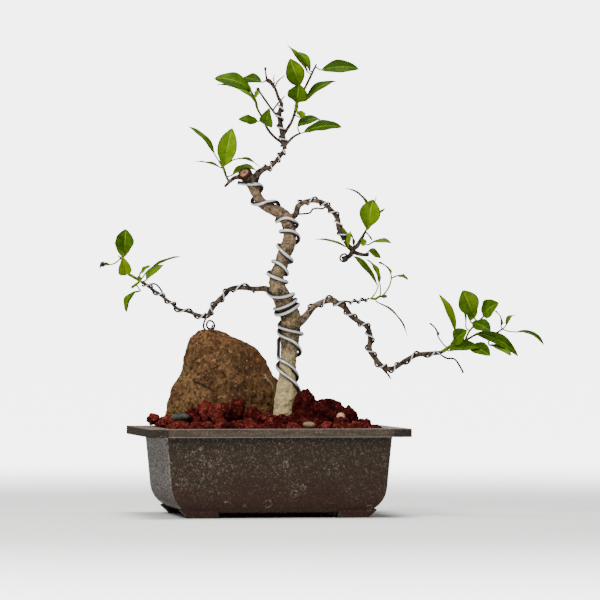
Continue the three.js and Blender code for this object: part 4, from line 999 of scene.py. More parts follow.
# Sprays. A stem's row is x, y, z, radius.
# A leaf's row is the foot of its blade, its tip, its width, its turn, its arch,
# where along its length it is widest, and its tone from dark to sunlit.
# Ends are buds, spikes and spurs: a tone as for the twigs, and rows as for a stem.
sprays = {
    "crown": {
        "node": "spray_crown",
        "stems": [
            [[17.85, -4, 365.5, 2.2], [16.5, -4, 375, 2.6], [14, -4, 388, 2.6], [12.5, -4, 401, 2.3],
             [14.5, -4, 411, 1.9], [11.5, -4, 417, 1.6], [8.7, -4, 425, 1.5], [4.5, -4, 432, 1.5],
             [0.5, -4, 434.5, 1.2], [-1.8, -4, 446, 0.7]],
            [[17, -4, 369, 1.9], [15, -3, 372, 1.7], [7.4, -2, 378, 1.5], [1, -1, 385.5, 1.5],
             [-4, 0, 396, 1.3], [-10.5, 1, 408.5, 1.2], [-12, 2, 416, 1.1], [-16, 3, 424, 1]],
            [[16, -4.5, 379, 1.7], [19, -5, 384, 1.7], [24, -6, 392, 1.5], [27.8, -7, 402, 1.5],
             [29.5, -8, 410, 1.5], [38.6, -9, 428, 1.2], [43, -10, 437, 1.3], [49.5, -10, 450.6, 0.9]],
            [[17.2, -4.5, 368.5, 1.7], [20, -5, 371.5, 1.5], [26.5, -6, 378, 1.3],
             [33.5, -7, 381.7, 1.1]],
            [[13.2, -3.5, 395, 1.4], [3.5, -1, 407.5, 1.2], [-8, 1, 424, 1.1]],
            [[6, -1.5, 405, 1], [11, 1.5, 412, 1], [17.6, 2, 419, 0.7]],
            [[8, -4, 427, 0.9], [10, -4.5, 432.5, 0.9], [17.6, -5, 439.5, 0.6]],
        ],
        "ends": [
            (0, [[-1.8, -4, 444, 0.9], [-1.6, -4.2, 446.2, 1.6], [-0.9, -4.4, 447.8, 0.7]]),
            (0, [[-1.5, -4.2, 434.6, 1.4], [1.5, -4.4, 434.2, 2.4], [5, -4.3, 431, 1.9],
                 [7.4, -4.2, 427, 1.7]]),
            (0, [[-7.6, 0.6, 423.4, 1.3], [-9, 0.4, 425.8, 2.1], [-8.6, 0.4, 427.6, 1]]),
            (0.3, [[7.6, -4.4, 431, 0.7], [6.6, -4.6, 436, 0.6], [7.4, -4.6, 440.4, 0.4]]),
            (1, [[29.6, -9, 413, 1.4], [29.4, -9.6, 408, 2.3], [28.8, -9.4, 403.6, 1.6]]),
        ],
        "leaves": [
            [[-16, 3, 425.5], [-53, 7, 437], 20, 40, 0.14, 0.5, 0.18],
            [[-5.5, 2, 433], [-27, 20, 437], 15, 45, 0.1, 0.5, -0.15],
            [[-20.5, 5, 424], [-50.6, 14, 431], 15, 80, 0.06, 0.5, 0],
            [[-7.5, -1, 402], [-32.2, -7, 427], 15, 76, 0.15, 0.5, 0.35],
            [[-9, -6, 393.5], [-28.5, -20, 395], 10, 20, 0.06, 0.5, 0.3],
            [[0, -5, 389], [2.5, -28, 405.5], 15, 20, 0.1, 0.36, 0.35],
            [[-13, 0, 418], [-7, -8, 423.5], 7, 40, 0.05, 0.5, 0.8],
            [[41, -10, 442], [20, 4, 470.6], 8, 52, 0.06, 0.5, 0.2],
            [[43, -8, 443.5], [28.5, 2, 464], 11, 48, 0.16, 0.5, 0.35],
            [[32, -16, 428], [23, -33, 454.8], 19.5, 5, 0.06, 0.5, 0.52],
            [[30, -12, 411], [32, -38, 429], 21, 5, 0.08, 0.62, 0.3],
            [[54, -9, 444.5], [92, -4, 446], 18, 40, 0.1, 0.5, 0],
            [[38, -6, 413.5], [69.2, 4, 434], 13, 50, 0.14, 0.5, 0.05],
            [[36, -7, 382], [75, -13, 387.5], 16, 48, 0.12, 0.5, 0.1],
            [[30.3, -4, 388], [53.3, 18, 397], 15, 50, 0.12, 0.5, 0.05],
            [[37.5, -5, 397], [30.5, 2, 404.5], 9, 40, 0.05, 0.5, 0.85],
            [[-15.5, 6, 423], [-38, 34, 430], 16, 60, 0.1, 0.5, 0.3],
        ],
    },
    "crownLeft": {
        "node": "spray_crown_left",
        "stems": [
            [[-40.7, -6.05, 338.4, 1.4], [-43, -7, 345, 1.3], [-48, -8, 354, 1]],
        ],
        "ends": [(1, [[-41.2, -6.2, 340, 1.4], [-43.2, -7.1, 346, 1.5], [-47.6, -8, 353.4, 1.2]])],
        "leaves": [
            [[-52, -8.5, 360.5], [-78.3, -13, 388], 14, 66, 0.08, 0.5, 0.2],
            [[-43, -9, 348], [-34.7, -14, 386.5], 20, 8, 0.08, 0.5, 0.58],
            [[-45, -5, 347], [-71.7, 13, 354], 10, 82, 0.05, 0.5, 0.05],
            [[-34, -10, 355], [-7.3, -14, 347.5], 13, 80, 0.15, 0.5, 0.05],
            [[-35, -1, 340], [-7, 16, 342], 16, 65, 0.2, 0.5, 0.7],
        ],
    },
    "left": {
        "node": "spray_left",
        "stems": [
            [[-126.4, -0.1, 233.4, 1.5], [-131.5, -1, 237, 1.4], [-138, -2, 240.5, 1.3],
             [-142, -3, 246, 1.1], [-144, -3.5, 253.5, 0.9], [-148.5, -5, 259.5, 0.6]],
            [[-127.5, -0.5, 233.5, 1.3], [-130, -1.5, 231, 1.2], [-135.3, -2, 227.5, 1.1]],
        ],
        "ends": [
            (0, [[-158, 11, 251, 0.5], [-162, 16, 251.3, 1.3], [-165.5, 20, 251.8, 2.1],
                 [-167, 22, 249.8, 1.3], [-167.8, 23, 247.5, 0.5]]),
            (1, [[-129.5, -1.2, 235.8, 1.5], [-134, -1.8, 238.4, 1.6], [-138.5, -2.3, 241.2, 1.5],
                 [-141.5, -3, 245, 1.2]]),
            (1, [[-129, -1.6, 232, 1.3], [-132, -1.9, 229.8, 1.5], [-135.6, -2.1, 227.2, 1.3]]),
        ],
        "leaves": [
            [[-142, -5, 260.5], [-140.5, -24, 285.5], 19, 4, 0.08, 0.62, 0.28],
            [[-142, -6, 239.5], [-143.5, -26, 258], 14, 15, 0.08, 0.36, 0.95],
            [[-158, 10, 250.5], [-169, 24, 248], 8, 70, 0.05, 0.5, 0],
            [[-120, -3.5, 244], [-86.5, -7, 258.5], 9, 74, 0.06, 0.5, 0.2],
            [[-121, 6, 235], [-104, 22, 250.5], 13, 55, 0.1, 0.5, 0.45],
            [[-128, -5, 239], [-116, -16, 249], 8, 60, 0.08, 0.5, 0.6],
            [[-130, -4, 235.5], [-124.5, -10, 236], 7, 0, 0.05, 0.5, 0.5],
            [[-126, -3, 224.5], [-140.2, -14, 202.4], 12, 60, 0.25, 0.5, 0.25],
            [[-144, 0, 257], [-147, 26, 276], 17, 20, 0.1, 0.5, 0.3],
        ],
    },
    "upperRight": {
        "node": "spray_upper_right",
        "stems": [
            [[77.7, -15.05, 274.1, 2.2], [81.8, -15.5, 268.2, 2.6], [85.3, -16, 264.6, 2.9],
             [82, -15, 258.5, 2.4], [75, -14, 256, 2.2]],
            [[84.5, -16, 265.5, 2.5], [88.9, -16, 267.8, 2.3], [93.4, -17, 274.5, 2],
             [97, -17, 281, 1.3], [98.7, -18, 284.5, 1.1]],
            [[84.5, -16, 263.5, 2.4], [93, -16, 260.5, 2], [99.5, -16, 259.8, 1.7]],
        ],
        "ends": [
            (0, [[98.4, -16, 259.8, 1.8], [100.4, -16, 260.4, 2.5], [102, -16, 260.6, 1.2]]),
            (0.2, [[98.3, -17.5, 283, 0.8], [101.5, -18, 279.5, 0.8], [104, -18, 276, 1],
                   [104.3, -18, 274.4, 0.6]]),
            (0.4, [[105.2, -36, 309.5, 0.6], [107.6, -35, 313.5, 0.6], [108.8, -34, 317.5, 0.4]]),
        ],
        "leaves": [
            [[99.3, -19, 284.5], [105.5, -38, 314.6], 21.5, 3, 0.08, 0.62, 0.68],
            [[100, -13, 290], [78.3, 6, 327.3], 13, 82, 0.22, 0.5, 0.1],
            [[102, -13, 287], [118.4, 4, 307.5], 12, 68, 0.05, 0.5, 0.15],
            [[100, -20, 269.8], [123.5, -40, 271.2], 14, 74, 0.1, 0.5, 0.45],
            [[102, -12, 264.5], [114, 2, 257], 9, 40, 0.06, 0.36, 0.6],
            [[79, -20, 268], [47.4, -24, 275.4], 14, 79, 0.06, 0.5, 0.2],
            [[81, -19, 267], [83.3, -20, 283.8], 6, 45, 0.04, 0.5, 0.75],
            [[87, -14, 268], [84, -12, 281.7], 5, 60, 0.04, 0.5, 0.2],
            [[80, -9, 271], [72, 6, 290], 13, 66, 0.08, 0.5, 0.4],
            [[93.5, -20, 271.5], [99.5, -26, 273], 8, 10, 0.05, 0.5, 0.6],
        ],
    },
    "lowerTwig": {
        "node": "spray_lower_twig",
        "stems": [
            [[102.35, -21.05, 216.5, 1.1], [108, -21.5, 216, 1.3], [112, -22, 218.2, 1.2],
             [117.6, -22, 218.4, 1.2]],
            [[114, -22, 218, 0.9], [118.5, -22, 223, 0.8], [122.5, -22.5, 230, 0.8],
             [124, -23, 237, 0.8]],
            [[104, -21, 216.5, 0.9], [108.5, -22.5, 222.5, 0.7], [111, -23.5, 229, 0.7]],
            [[112.5, -22, 218, 0.8], [113.3, -21, 224, 0.7], [112.6, -19.5, 231, 0.7]],
        ],
        "ends": [(0, [[114.6, -22, 217.8, 1.3], [117.6, -22, 218.6, 2], [119.8, -22, 218.4, 1]])],
        "leaves": [
            [[110.5, -24, 229.5], [86, -30, 258.5], 16, 65, 0.05, 0.62, 0.25],
            [[112, -19.5, 231.5], [99, -10, 256], 12, 68, 0.12, 0.5, 0.6],
            [[126, -24, 237.5], [140.6, -38, 234.6], 9, 70, 0.15, 0.36, 0.15],
            [[123.7, -21, 241], [111.2, -4, 252.1], 10, 84, 0.1, 0.5, 0.1],
            [[109, -21.5, 213.5], [139.8, -24, 179.6], 11, 83, 0.12, 0.5, 0.15],
        ],
    },
    "lowerRight": {
        "node": "spray_lower_right",
        "stems": [
            [[173.15, -9.95, 162.4, 1.8], [178, -9, 165, 1.8], [183, -9, 168.7, 1.8],
             [199.4, -8, 175.3, 1.2], [209.4, -8, 180.5, 1.1], [227.6, -8, 181.5, 1],
             [235, -8, 186, 0.9]],
            [[198, -8, 174.8, 1.1], [201, -9, 182, 1.1], [206, -9, 188.5, 1.1], [216.8, -9, 199, 0.9]],
            [[183, -9, 169, 1.3], [187.5, -9, 177, 1.1], [188.7, -9, 183, 0.9]],
        ],
        "ends": [
            (1, [[175, -9.5, 163.5, 1.8], [183, -9.1, 168.5, 2], [192, -8.6, 172.6, 1.6],
                 [200, -8.1, 175.6, 1.2]]),
        ],
        "leaves": [
            [[188, -9.5, 184], [171.7, -12, 220.7], 16, 60, 0.07, 0.5, 0.9],
            [[186, -12, 172.5], [199, -32, 184.5], 17, 30, 0.08, 0.5, 0.25],
            [[181, -12, 164], [214, -24, 166.5], 16, 52, 0.12, 0.5, 0.3],
            [[202, -14, 169.5], [222, -32, 159.5], 17, 35, 0.08, 0.5, 0.25],
            [[206.3, -13, 197.5], [194.8, -30, 224.6], 22, 8, 0.08, 0.58, 0.48],
            [[215, -11, 200.5], [230.3, -34, 212], 19, 28, 0.1, 0.5, 0.3],
            [[205, -13, 193], [222.5, -30, 183.5], 16, 32, 0.08, 0.5, 0.12],
            [[207, -12, 181.5], [250.8, -12, 158.7], 18, 48, 0.14, 0.5, 0.1],
            [[221, -12, 170.5], [243, -29, 159.5], 13, 60, 0.08, 0.5, 0.6],
            [[239, -7, 190.2], [249.8, 11, 200.3], 9, 70, 0.12, 0.5, 0.3],
            [[234, -5, 189], [228, 14, 204.3], 9, 84, 0.12, 0.5, 0.15],
            [[248.4, -9, 183.3], [276.6, -14, 169.8], 12, 70, 0.16, 0.5, 0.05],
            [[199, -7, 187], [194, -3, 211], 10, 83, 0.06, 0.5, 0.4],
            [[171, -5, 178.6], [162.5, 16, 191.6], 9, 84, 0.08, 0.5, 0.15],
            [[203, -4, 194], [201, 24, 212], 16, 30, 0.1, 0.5, 0.3],
        ],
    },
}
blade = {
    "across": 8,
    "along": 22,
    "fold": 9,
    "foldSpread": (0.7, 1.5),
    "thickness": 0.4,
    "fullness": 0.82,
    "wave": 0.5,
    "waveSpread": (0.4, 1.4),
    "ripples": (1.4, 2.6),
    "twist": (-0.25, 0.25),
    "stalk": 0.75,
    "stalkSag": 0.08,
    "ribDepth": 0.25,
    "ribEnd": 0.12,
    "ribPlaces": (0.02, 0.25, 0.5, 0.75, 0.93),  # along the blade
}


def bladeNormal(along, turn):
    towards = Vector((0, -1, 0))
    facing = (towards - along * towards.dot(along)).normalized()
    across = along.cross(facing)
    if across.z < 0:
        across.negate()
    return facing * math.cos(turn) + across * math.sin(turn)


# Gives a function that puts a spot of the blade, across -1 to 1 and along 0 to 1, in the tree's frame
def bladeSurface(row, draw):
    foot, tip, width, turn, arch, peak, _ = row
    base = Vector(foot)
    along = Vector(tip) - base
    length = along.length
    along.normalize()
    up = bladeNormal(along, math.radians(turn))
    across = along.cross(up)
    fold = math.radians(blade["fold"] * draw.uniform(*blade["foldSpread"]))
    phase = draw.uniform(0, math.tau)
    ripples = draw.uniform(*blade["ripples"])
    twist = draw.uniform(*blade["twist"])
    wave = blade["wave"] * draw.uniform(*blade["waveSpread"])
    bend = math.log(0.5) / math.log(peak)

    def surface(u, v, drop=0):
        rise = arch * length * 4 * v * (1 - v)
        normal = (up - along * arch * 4 * (1 - 2 * v)).normalized()
        side = (across + normal * twist * (v - 0.4)).normalized()
        half = width / 2 * max(math.sin(math.pi * v ** bend), 0) ** blade["fullness"]
        ripple = wave * u * u * math.sin(math.tau * ripples * v + phase + (1.9 if u > 0 else 0))
        lift = half * abs(u) ** 1.25 * math.sin(fold) + ripple * min(1, half / 3)
        return (base + along * length * v + up * rise + side * u * half * math.cos(fold)
                + normal * (lift - drop))

    return surface


def nearestOnStems(stems, place):
    spots = [pointOn(rows, step / 40) for rows in stems for step in range(41)]
    return min(spots, key=lambda spot: (spot - place).length)


# A blade, and its stalk that runs on under it as the midrib
def makeLeaf(pattern, row, stems, draw):
    surface = bladeSurface(row, draw)
    leaf = copyOf(pattern, "blade")
    for vertex in leaf.data.vertices:
        vertex.co = treePlace @ surface(vertex.co.x, (vertex.co.y + 1) / 2)
    setFloat(leaf, "tone", row[6] + draw.uniform(-0.05, 0.05))
    foot = Vector(row[0])
    root = nearestOnStems(stems, foot)
    line = [root, root.lerp(foot, 0.5) + Vector((0, 0, -blade["stalkSag"] * (foot - root).length))]
    line += [surface(0, share, blade["ribDepth"]) for share in blade["ribPlaces"]]
    points = smoothPoints(line, 4)
    ribStart = 8  # the point where the stalk goes under the blade and starts to taper
    taper = (blade["ribEnd"] - blade["stalk"]) / (len(points) - 1 - ribStart)
    radii = [blade["stalk"] + taper * max(step - ribStart, 0) for step in range(len(points))]
    stalk = drawTube("stalk", points, radii, 1)
    setFloat(stalk, "tone", 0.8)
    return leaf, stalk


def makeSpray(name, pattern, topFinish, underFinish, twigFinish):
    spray = sprays[name]
    draw = random.Random(name)
    pairs = [makeLeaf(pattern, row, spray["stems"], draw) for row in spray["leaves"]]
    blades = joined([leaf for leaf, stalk in pairs], name + "Blades")
    coat(blades, topFinish, underFinish)
    applyModifier(blades, "SOLIDIFY", thickness=blade["thickness"] * mm, offset=-1, material_offset=1)
    twigs = []
    for rows in spray["stems"]:
        twigs.append(drawLimb("twig", rows, 6, 2))
        setFloat(twigs[-1], "tone", 0.6 if rows[0][3] < 1.4 else 0.2)
    for tone, rows in spray["ends"]:
        twigs.append(drawLimb("twigEnd", rows, 4, 2))
        setFloat(twigs[-1], "tone", tone)
    stems = joined(twigs + [stalk for leaf, stalk in pairs], name + "Twigs")
    coat(stems, twigFinish)
    piece = joined([blades, stems], name + "Spray")
    finishPiece(piece, "leaf", [spray["node"]], smooth=50)


def makeSprays():
    deselect()
    bpy.ops.mesh.primitive_grid_add(x_subdivisions=blade["across"], y_subdivisions=blade["along"], size=2)
    pattern = added("bladePattern")
    materials = makeLeafTop(), makeLeafUnder(), makeTwig()
    for name in sprays:
        makeSpray(name, pattern, *materials)
    bpy.data.objects.remove(pattern)
    print("leaves done")


# Wires
wires = {
    "gap": 0.12,
    "trunkRadius": 2.05,
    "trunkStart": -0.25,
    "trunkFoot": (2.5, 1, -34),
    "quarterHeights": [
        121, 139, 148, 157, 163.5, 176, 182, 193, 206, 205, 206, 211, 215.5, 219, 226, 230, 231.5,
        236.5, 240, 243, 245, 248.5, 251, 253.5, 255.5, 260, 265.5, 271, 277, 282, 285, 286.5, 288.5,
        295.5, 300, 303, 305.5, 311, 316, 320, 325, 331,
    ],
    "secondRadius": 1.9,
    "secondFoot": (1, 4, -42),
    "secondRows": [
        [-0.5, 128], [-0.25, 139], [0, 151], [0.22, 157], [0.27, 174], [0.5, 179], [0.75, 182.5],
        [1, 185.5], [1.25, 189.5], [1.5, 199.5], [1.75, 211], [2, 210], [2.2, 211],
    ],
    "branchRadius": 1,
    "stepsPerTurn": 18,
    "brightSide": (-0.96, -0.76),  # across the wire, from its outer side at -1, where the painted shade sets in
    "branches": {  # node: limb, from, to, turns, turn at the start
        "wire_left": ("left", 0.17, 0.97, 8, 0.3),
        "wire_upper_right": ("upperRight", 0.28, 0.96, 5, 0.2),
        "wire_lower_right": ("lowerRight", 0.13, 0.98, 10, 0.1),
        "wire_lower_twig": ("lowerTwig", 0.42, 0.95, 2.5, 0.5),
        "wire_crown": ("crown", 0.35, 0.95, 3, 0.1),
    },
    "crownStem": (0.04, 0.42, 4, 0.2),  # from, to, turns, turn at the start
    "lowerRightTail": [(179, -13, 157), (187, -13, 156), (192.6, -13, 148.6), (196, -13, 142)],
    "loose": {  # node: ends of wire that stand off their limb
        "wire_left": [
            [(-119, 3, 230.5), (-112, 2, 231), (-107, 3, 226.5), (-103.5, 4, 219.5)],
            [(-58.5, 12, 201), (-62, 9, 195.5), (-63.6, 8, 188), (-60.5, 7.5, 184.2), (-55.5, 7.5, 184.4),
             (-52.6, 8, 188.5), (-54.2, 8.5, 193), (-58, 9, 194.4), (-60.6, 9, 190.5), (-58.8, 8.5, 186.6),
             (-55.6, 8.5, 186.8), (-54.4, 9, 190)],
        ],
        "wire_upper_right": [
            [(31, -10, 300.6), (37, -11, 301), (43, -12, 302), (45.5, -12.5, 305.3), (50, -13, 306.4),
             (55, -13, 306), (59, -13, 308)],
            [(81, -17, 258.5), (77.5, -18, 260.8), (73.8, -18, 259), (73, -17.5, 255.8), (75, -16.5, 253.4),
             (78.5, -16.5, 253.6), (80.5, -17.5, 255.6), (79.5, -18, 258)],
        ],
        "wire_trunk": [
            [(-29, -13, 332), (-22, -14.5, 331), (-14, -13.5, 330), (-7, -9, 330)],
        ],
    },
}


def trunkShareAt(height):
    low, high = 0, 1
    for _ in range(24):
        middle = (low + high) / 2
        if pointOn(wood["trunk"], middle).z < height:
            low = middle
        else:
            high = middle
    return low


def trunkCoil(rows, radius, foot):
    course = smoothPoints([Vector((turn, 0, height)) for turn, height in rows], 8)
    points = [besideLimb(wood["trunk"], trunkShareAt(spot.z), spot.x, radius + wires["gap"])
              for spot in course]
    end = points[0] + Vector(foot)
    return [end, points[0].lerp(end, 0.7), points[0].lerp(end, 0.35)] + points


# Painted shade on the wire's side that faces its limb, from the nearest point of the wire's middle line
def shadeWire(wire, points, rows, radius):
    line = smoothPoints(lineOf(rows), 12)
    middles = [min(line, key=lambda spot: (spot - point).length) for point in points]
    found = searchTree(points)
    unshaded, shaded = wires["brightSide"]
    dirt = []
    for vertex in wire.data.vertices:
        spot, index, _ = found.find(vertex.co)
        inward = treePlace @ middles[index] - spot
        share = (vertex.co - spot).dot(inward.normalized()) / (radius * mm)
        dirt.append(min(max((share - unshaded) / (shaded - unshaded), 0), 1))
    setFloat(wire, "dirt", dirt)


def branchCoil(rows, start, end, turns, turn):
    count = math.ceil(turns * wires["stepsPerTurn"])
    reach = wires["branchRadius"] + wires["gap"]
    return [besideLimb(rows, start + (end - start) * step / count, turn + turns * step / count, reach)
            for step in range(count + 1)]


# Each wire's limb, radius and middle line
def wireCourses():
    firstRows = [(wires["trunkStart"] + index / 4, height)
                 for index, height in enumerate(wires["quarterHeights"])]
    courses = {}
    for node, rows, radius, foot in (
            ("wire_trunk", firstRows, wires["trunkRadius"], wires["trunkFoot"]),
            ("wire_trunk_second", wires["secondRows"], wires["secondRadius"], wires["secondFoot"])):
        courses[node] = (wood["trunk"], radius, trunkCoil(rows, radius, foot))
    for node, (limb, *course) in wires["branches"].items():
        courses[node] = (wood[limb], wires["branchRadius"], branchCoil(wood[limb], *course))
    points = courses["wire_lower_right"][2]
    points += smoothPoints([points[-1]] + lineOf(wires["lowerRightTail"]), 6)[1:]
    return courses


def makeWires():
    material = makeWireFinish()
    for node, (limb, radius, points) in wireCourses().items():
        strands = [(points, limb)]
        for rows in wires["loose"].get(node, []):
            strands.append((smoothPoints(lineOf(rows), 8), limb))
        if node == "wire_crown":
            stem = sprays["crown"]["stems"][0]
            strands.append((branchCoil(stem, *wires["crownStem"]), stem))
        pieces = []
        for strand, rows in strands:
            pieces.append(drawTube("strand", strand, [radius] * len(strand), 3))
            shadeWire(pieces[-1], strand, rows, radius)
        words = node.split("_")
        wire = joined(pieces, words[0] + "".join(word.title() for word in words[1:]))
        coat(wire, material)
        finishPiece(wire, "wire", [node], smooth=60)
    print("wires done")


# Lava: red, each stone with its own tone, with dark pits and painted shade in the low parts of its surface
lavaLook = {
    "tones": [
        (0.0, paint(56, 16, 16)), (0.35, paint(106, 38, 35)), (0.7, paint(154, 66, 56)),
        (1.0, paint(192, 104, 88)),
    ],
    "pit": paint(18, 4, 5),
    "glint": paint(206, 132, 112),
    "cloud": (210, 0.35, 0.65),
    "glints": (620, 0.14, 0.6),
}


def makeLavaFinish():
    material, tree, shader, spot = newMaterial("lavaFinish", {
        "Roughness": 0.9, "Specular IOR Level": 0.08})
    cloud = addCloud(tree, spot, *lavaLook["cloud"])
    tone = times(tree, attributeValue(tree, "tone"), 0.65)
    colour = addRamp(tree, addMath(tree, "ADD", tone, times(tree, cloud, 0.35)), lavaLook["tones"])
    pit = addNoise(tree, spot, 340, 7, Roughness=0.7, Distortion=1)["Fac"]
    pit = addRange(tree, pit, 0.53, 0.43)
    # Painted shade in the low parts of each stone's surface, joined below with the real pits
    hollow = addRange(tree, attributeValue(tree, "relief"), 0.1, -0.7)
    hollow = addMath(tree, "MAXIMUM", times(tree, pit, 0.7), hollow)
    glint = addSpecks(tree, spot, *lavaLook["glints"])
    colour = layColours(tree, colour, (lavaLook["pit"], hollow, 0.92), (lavaLook["glint"], glint, 0.6))
    tree.links.new(colour, shader.inputs["Base Color"])
    grain = addNoise(tree, spot, 900, 6, Roughness=0.7)["Fac"]
    addBump(tree, shader, addMath(tree, "SUBTRACT", grain, pit), 1, 1.6)
    return material


# Gravel: a bed with two mounds and lava stones over it. Bed lengths are in the pot's frame.
gravel = {
    "seed": 7,
    "bedTop": 84.5,
    "mounds": [(-45, 2, 62, 46, 9), (40, -22, 44, 34, 7)],  # x, y, half length, half depth, rise
    "halfLength": 105,
    "halfDepth": 85,
    "cuts": 16,  # flats on each stone
    "pitch": 12.5,
    "sizes": (5.5, 8.5),
    "smallPitch": 9,
    "smallSizes": (2.5, 4.5),
    "rough": [("VORONOI", 800, 500), ("CLOUDS", 500, 400)],  # texture, size and strength
    "fineRough": [("VORONOI", 650, 420), ("CLOUDS", 420, 300), ("VORONOI", 220, 170)],
    "plainKinds": 6,
    "plainFaces": 54,
    "fineKinds": 5,
    "spread": (0.98, 1.12),  # of the corners, before the flats are cut
    "cutLimits": (0.66, 0.98),  # of the flats, out from the middle
    "jitter": 0.4,  # away from the grid, in pitches
    "margin": 0.8,  # at the bed's sides, in sizes of the stone
    "lift": (-0.3, 0.5),  # above the bed, in sizes of the stone
    "stretch": (0.75, 1.2),  # of each stone's three sides
    "bedSink": 4,  # of the bed's surface under the stones
    "clearFront": 12,  # depth in front of the pebbles that stays clear
    "shadyFrom": 30,  # large stones to the right of this are darker
    "shadyTones": (0, 0.4),
    "sunnyTones": (0.2, 0.85),
    "smallTones": (0, 0.8),
    "large": [  # middle and half sizes in the tree's frame
        [(-116, 62, 95), (6.5, 6, 6)], [(-104, 55, 88), (9, 8, 6)],
        [(-62, -26, 104), (8, 8, 12)], [(-73, -30, 99), (8, 8, 9)],
        [(-50, -28, 101), (8.5, 8, 10)], [(-39, -27, 104), (8, 8, 10)],
        [(-28, -26, 106), (8, 8, 11)], [(-15, -30, 101), (9, 8, 9)],
        [(-90, -24, 95), (8, 8, 8)], [(-101, -12, 93), (7, 8, 7)],
        [(41, -24, 106), (15, 12, 22)], [(57, -27, 101), (20, 12, 17)],
        [(70, -22, 96), (11, 11, 12)], [(82, -22, 98), (9.5, 9, 10)],
        [(98, -16, 90), (7, 7, 6)], [(0, -34, 95), (9, 8, 8)], [(16, -37, 94), (9, 8, 8)],
        [(48, 12, 94), (12, 11, 11)], [(-86, -40, 90), (11, 8, 7)], [(74, -41, 92), (10, 9, 7)],
        [(42, -61, 86), (9, 7, 4)],
    ],
}


def bedHeight(x, y):
    height = gravel["bedTop"]
    for middleX, middleY, halfLength, halfDepth, rise in gravel["mounds"]:
        height += rise * math.exp(-((x - middleX) / halfLength) ** 2 - ((y - middleY) / halfDepth) ** 2)
    return height


# Lava stones are modelled about two metres wide, and shrunk when they are placed
def makeLavaShape(name, fineness, layers, draw):
    deselect()
    bpy.ops.mesh.primitive_ico_sphere_add(subdivisions=fineness, radius=1)
    shape = added(name)
    for vertex in shape.data.vertices:
        vertex.co *= draw.uniform(*gravel["spread"])
    for _ in range(gravel["cuts"]):
        out = Vector([draw.gauss(0, 1) for _ in range(3)]).normalized()
        limit = draw.uniform(*gravel["cutLimits"])
        for vertex in shape.data.vertices:
            vertex.co -= out * max(vertex.co.dot(out) - limit, 0)
    shift = Vector([draw.uniform(0, 40) for _ in range(3)])  # to its own part of the textures
    for vertex in shape.data.vertices:
        vertex.co += shift
    roughen(shape, layers)
    for vertex in shape.data.vertices:
        vertex.co -= shift
    return shape


def makePlainLava(name, draw):
    shape = makeLavaShape(name, 3, gravel["rough"], draw)
    applyModifier(shape, "DECIMATE", ratio=gravel["plainFaces"] / len(shape.data.polygons))
    return shape


def placeLava(shape, place, sizes, draw, tones):
    chunk = copyOf(shape, "lavaChunk")
    axis = Vector((draw.uniform(-1, 1), draw.uniform(-1, 1), 1))
    turn = Matrix.Rotation(draw.uniform(0, math.tau), 4, axis)
    chunk.data.transform(place @ Matrix.Diagonal((*sizes, 1)) @ turn)
    setFloat(chunk, "tone", draw.uniform(*tones))
    return chunk


def makeBed():
    deselect()
    bpy.ops.mesh.primitive_grid_add(x_subdivisions=40, y_subdivisions=30, size=2)
    bed = added("gravelBed")
    for vertex in bed.data.vertices:
        x, y = vertex.co.x * gravel["halfLength"], vertex.co.y * gravel["halfDepth"]
        vertex.co = potPlace @ Vector((x, y, bedHeight(x, y) - gravel["bedSink"]))
    applyModifier(bed, "SOLIDIFY", thickness=2 * mm, offset=-1)
    roughen(bed, [("CLOUDS", 6, 3)])
    # The bed takes a tone below every stone's: painted shade in the gaps between the stones
    setFloat(bed, "tone", -0.5)
    return bed


# The pebbles lie free, so no small stone may sit on them or just in front
def isOnPebble(place, size):
    reach = size * mm
    for node in pebbles:
        low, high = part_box(node)
        if (low.x - reach < place.x < high.x + reach and place.z + reach > low.z
                and low.y - gravel["clearFront"] * mm < place.y < high.y + reach):
            return True
    return False


# A place near a point of the bed's grid
def scatter(half, index, pitch, draw):
    return -half + index * pitch + draw.uniform(-gravel["jitter"], gravel["jitter"]) * pitch


def keepOn(half, value, size):
    margin = size * gravel["margin"]
    return max(min(value, half - margin), -half + margin)


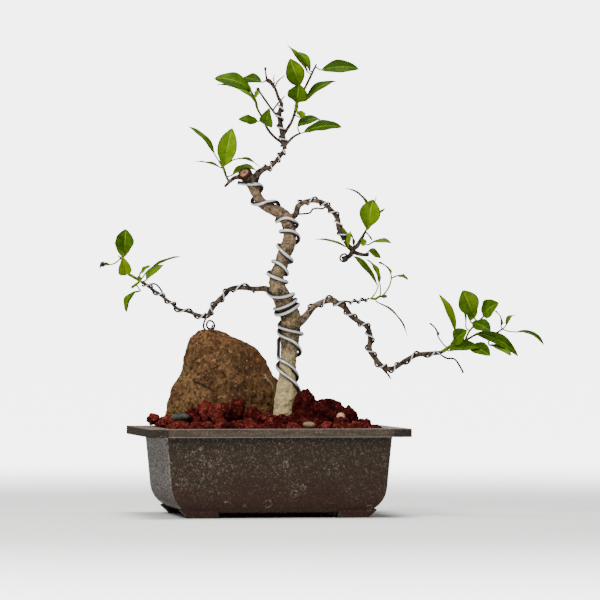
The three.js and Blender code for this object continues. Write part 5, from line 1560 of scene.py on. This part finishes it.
def makeGravel():
    draw = random.Random(gravel["seed"])
    plain = [makePlainLava(f"lavaPlain{index}", draw) for index in range(gravel["plainKinds"])]
    fine = [makeLavaShape(f"lavaFine{index}", 4, gravel["fineRough"], draw)
            for index in range(gravel["fineKinds"])]
    chunks = [makeBed()]
    for middle, sizes in gravel["large"]:
        place = treePlace @ Matrix.Translation(middle)
        tones = gravel["shadyTones"] if middle[0] > gravel["shadyFrom"] else gravel["sunnyTones"]
        chunks.append(placeLava(draw.choice(fine), place, sizes, draw, tones))
    halfLength, halfDepth = gravel["halfLength"], gravel["halfDepth"]
    for pitch, bounds in ((gravel["pitch"], gravel["sizes"]), (gravel["smallPitch"], gravel["smallSizes"])):
        for column in range(int(2 * halfLength / pitch) + 1):
            for line in range(int(2 * halfDepth / pitch) + 1):
                x = scatter(halfLength, column, pitch, draw)
                y = scatter(halfDepth, line, pitch, draw)
                size = draw.uniform(*bounds)
                x, y = keepOn(halfLength, x, size), keepOn(halfDepth, y, size)
                middle = (x, y, bedHeight(x, y) + draw.uniform(*gravel["lift"]) * size)
                sizes = [size * draw.uniform(*gravel["stretch"]) for _ in range(3)]
                if isOnPebble(potPlace @ Vector(middle), size):
                    continue
                place = potPlace @ Matrix.Translation(middle)
                chunks.append(placeLava(draw.choice(plain), place, sizes, draw, gravel["smallTones"]))
    piece = joined(chunks, "lavaStones")
    for shape in plain + fine:
        bpy.data.objects.remove(shape)
    coat(piece, makeLavaFinish())
    finishPiece(piece, "lava", ["lava_gravel"], smooth=38)
    print("gravel done")


# Pebbles: the solids' own forms, made rounder
pebbles = {  # node: name, pale and deep colour, roughness, slot
    "pebble_blue": ("bluePebble", paint(78, 84, 78), paint(34, 39, 37), 0.8, "blue_pebble"),
    "pebble_tan": ("tanPebble", paint(158, 138, 104), paint(98, 82, 58), 0.55, "tan_pebble"),
    "pebble_orange": ("orangePebble", paint(232, 190, 160), paint(190, 96, 66), 0.45, "orange_pebble"),
}
pebbleDots = paint(70, 66, 60)


def makePebbleFinish(name, pale, deep, roughness):
    material, tree, shader, spot = newMaterial(name, {"Roughness": roughness})
    colour = addMix(tree, addCloud(tree, spot, 160, 0.35, 0.65), pale, deep)
    colour = layColours(tree, colour, (pebbleDots, addSpecks(tree, spot, 900, 0.3, 0.5), 0.5))
    tree.links.new(colour, shader.inputs["Base Color"])
    return material


def makePebbles():
    for node, (name, pale, deep, roughness, slot) in pebbles.items():
        pebble = copyOfNode(node, name)
        applyModifier(pebble, "SUBSURF", levels=2, render_levels=2)
        roughen(pebble, [("CLOUDS", 5, 0.9), ("CLOUDS", 2, 0.2)])
        coat(pebble, makePebbleFinish(name + "Finish", pale, deep, roughness))
        finishPiece(pebble, slot, [node], smooth=80)
    print("pebbles done")


addCamera()
addLights()
addFloor()
makePot()
dressNodes(makeSoilFinish(), "soil")
dressNodes(makeNetFinish(), "drain_net_left", "drain_net_right")
makeWood()
makeSprays()
makeWires()
makeStone()
makeGravel()
makePebbles()
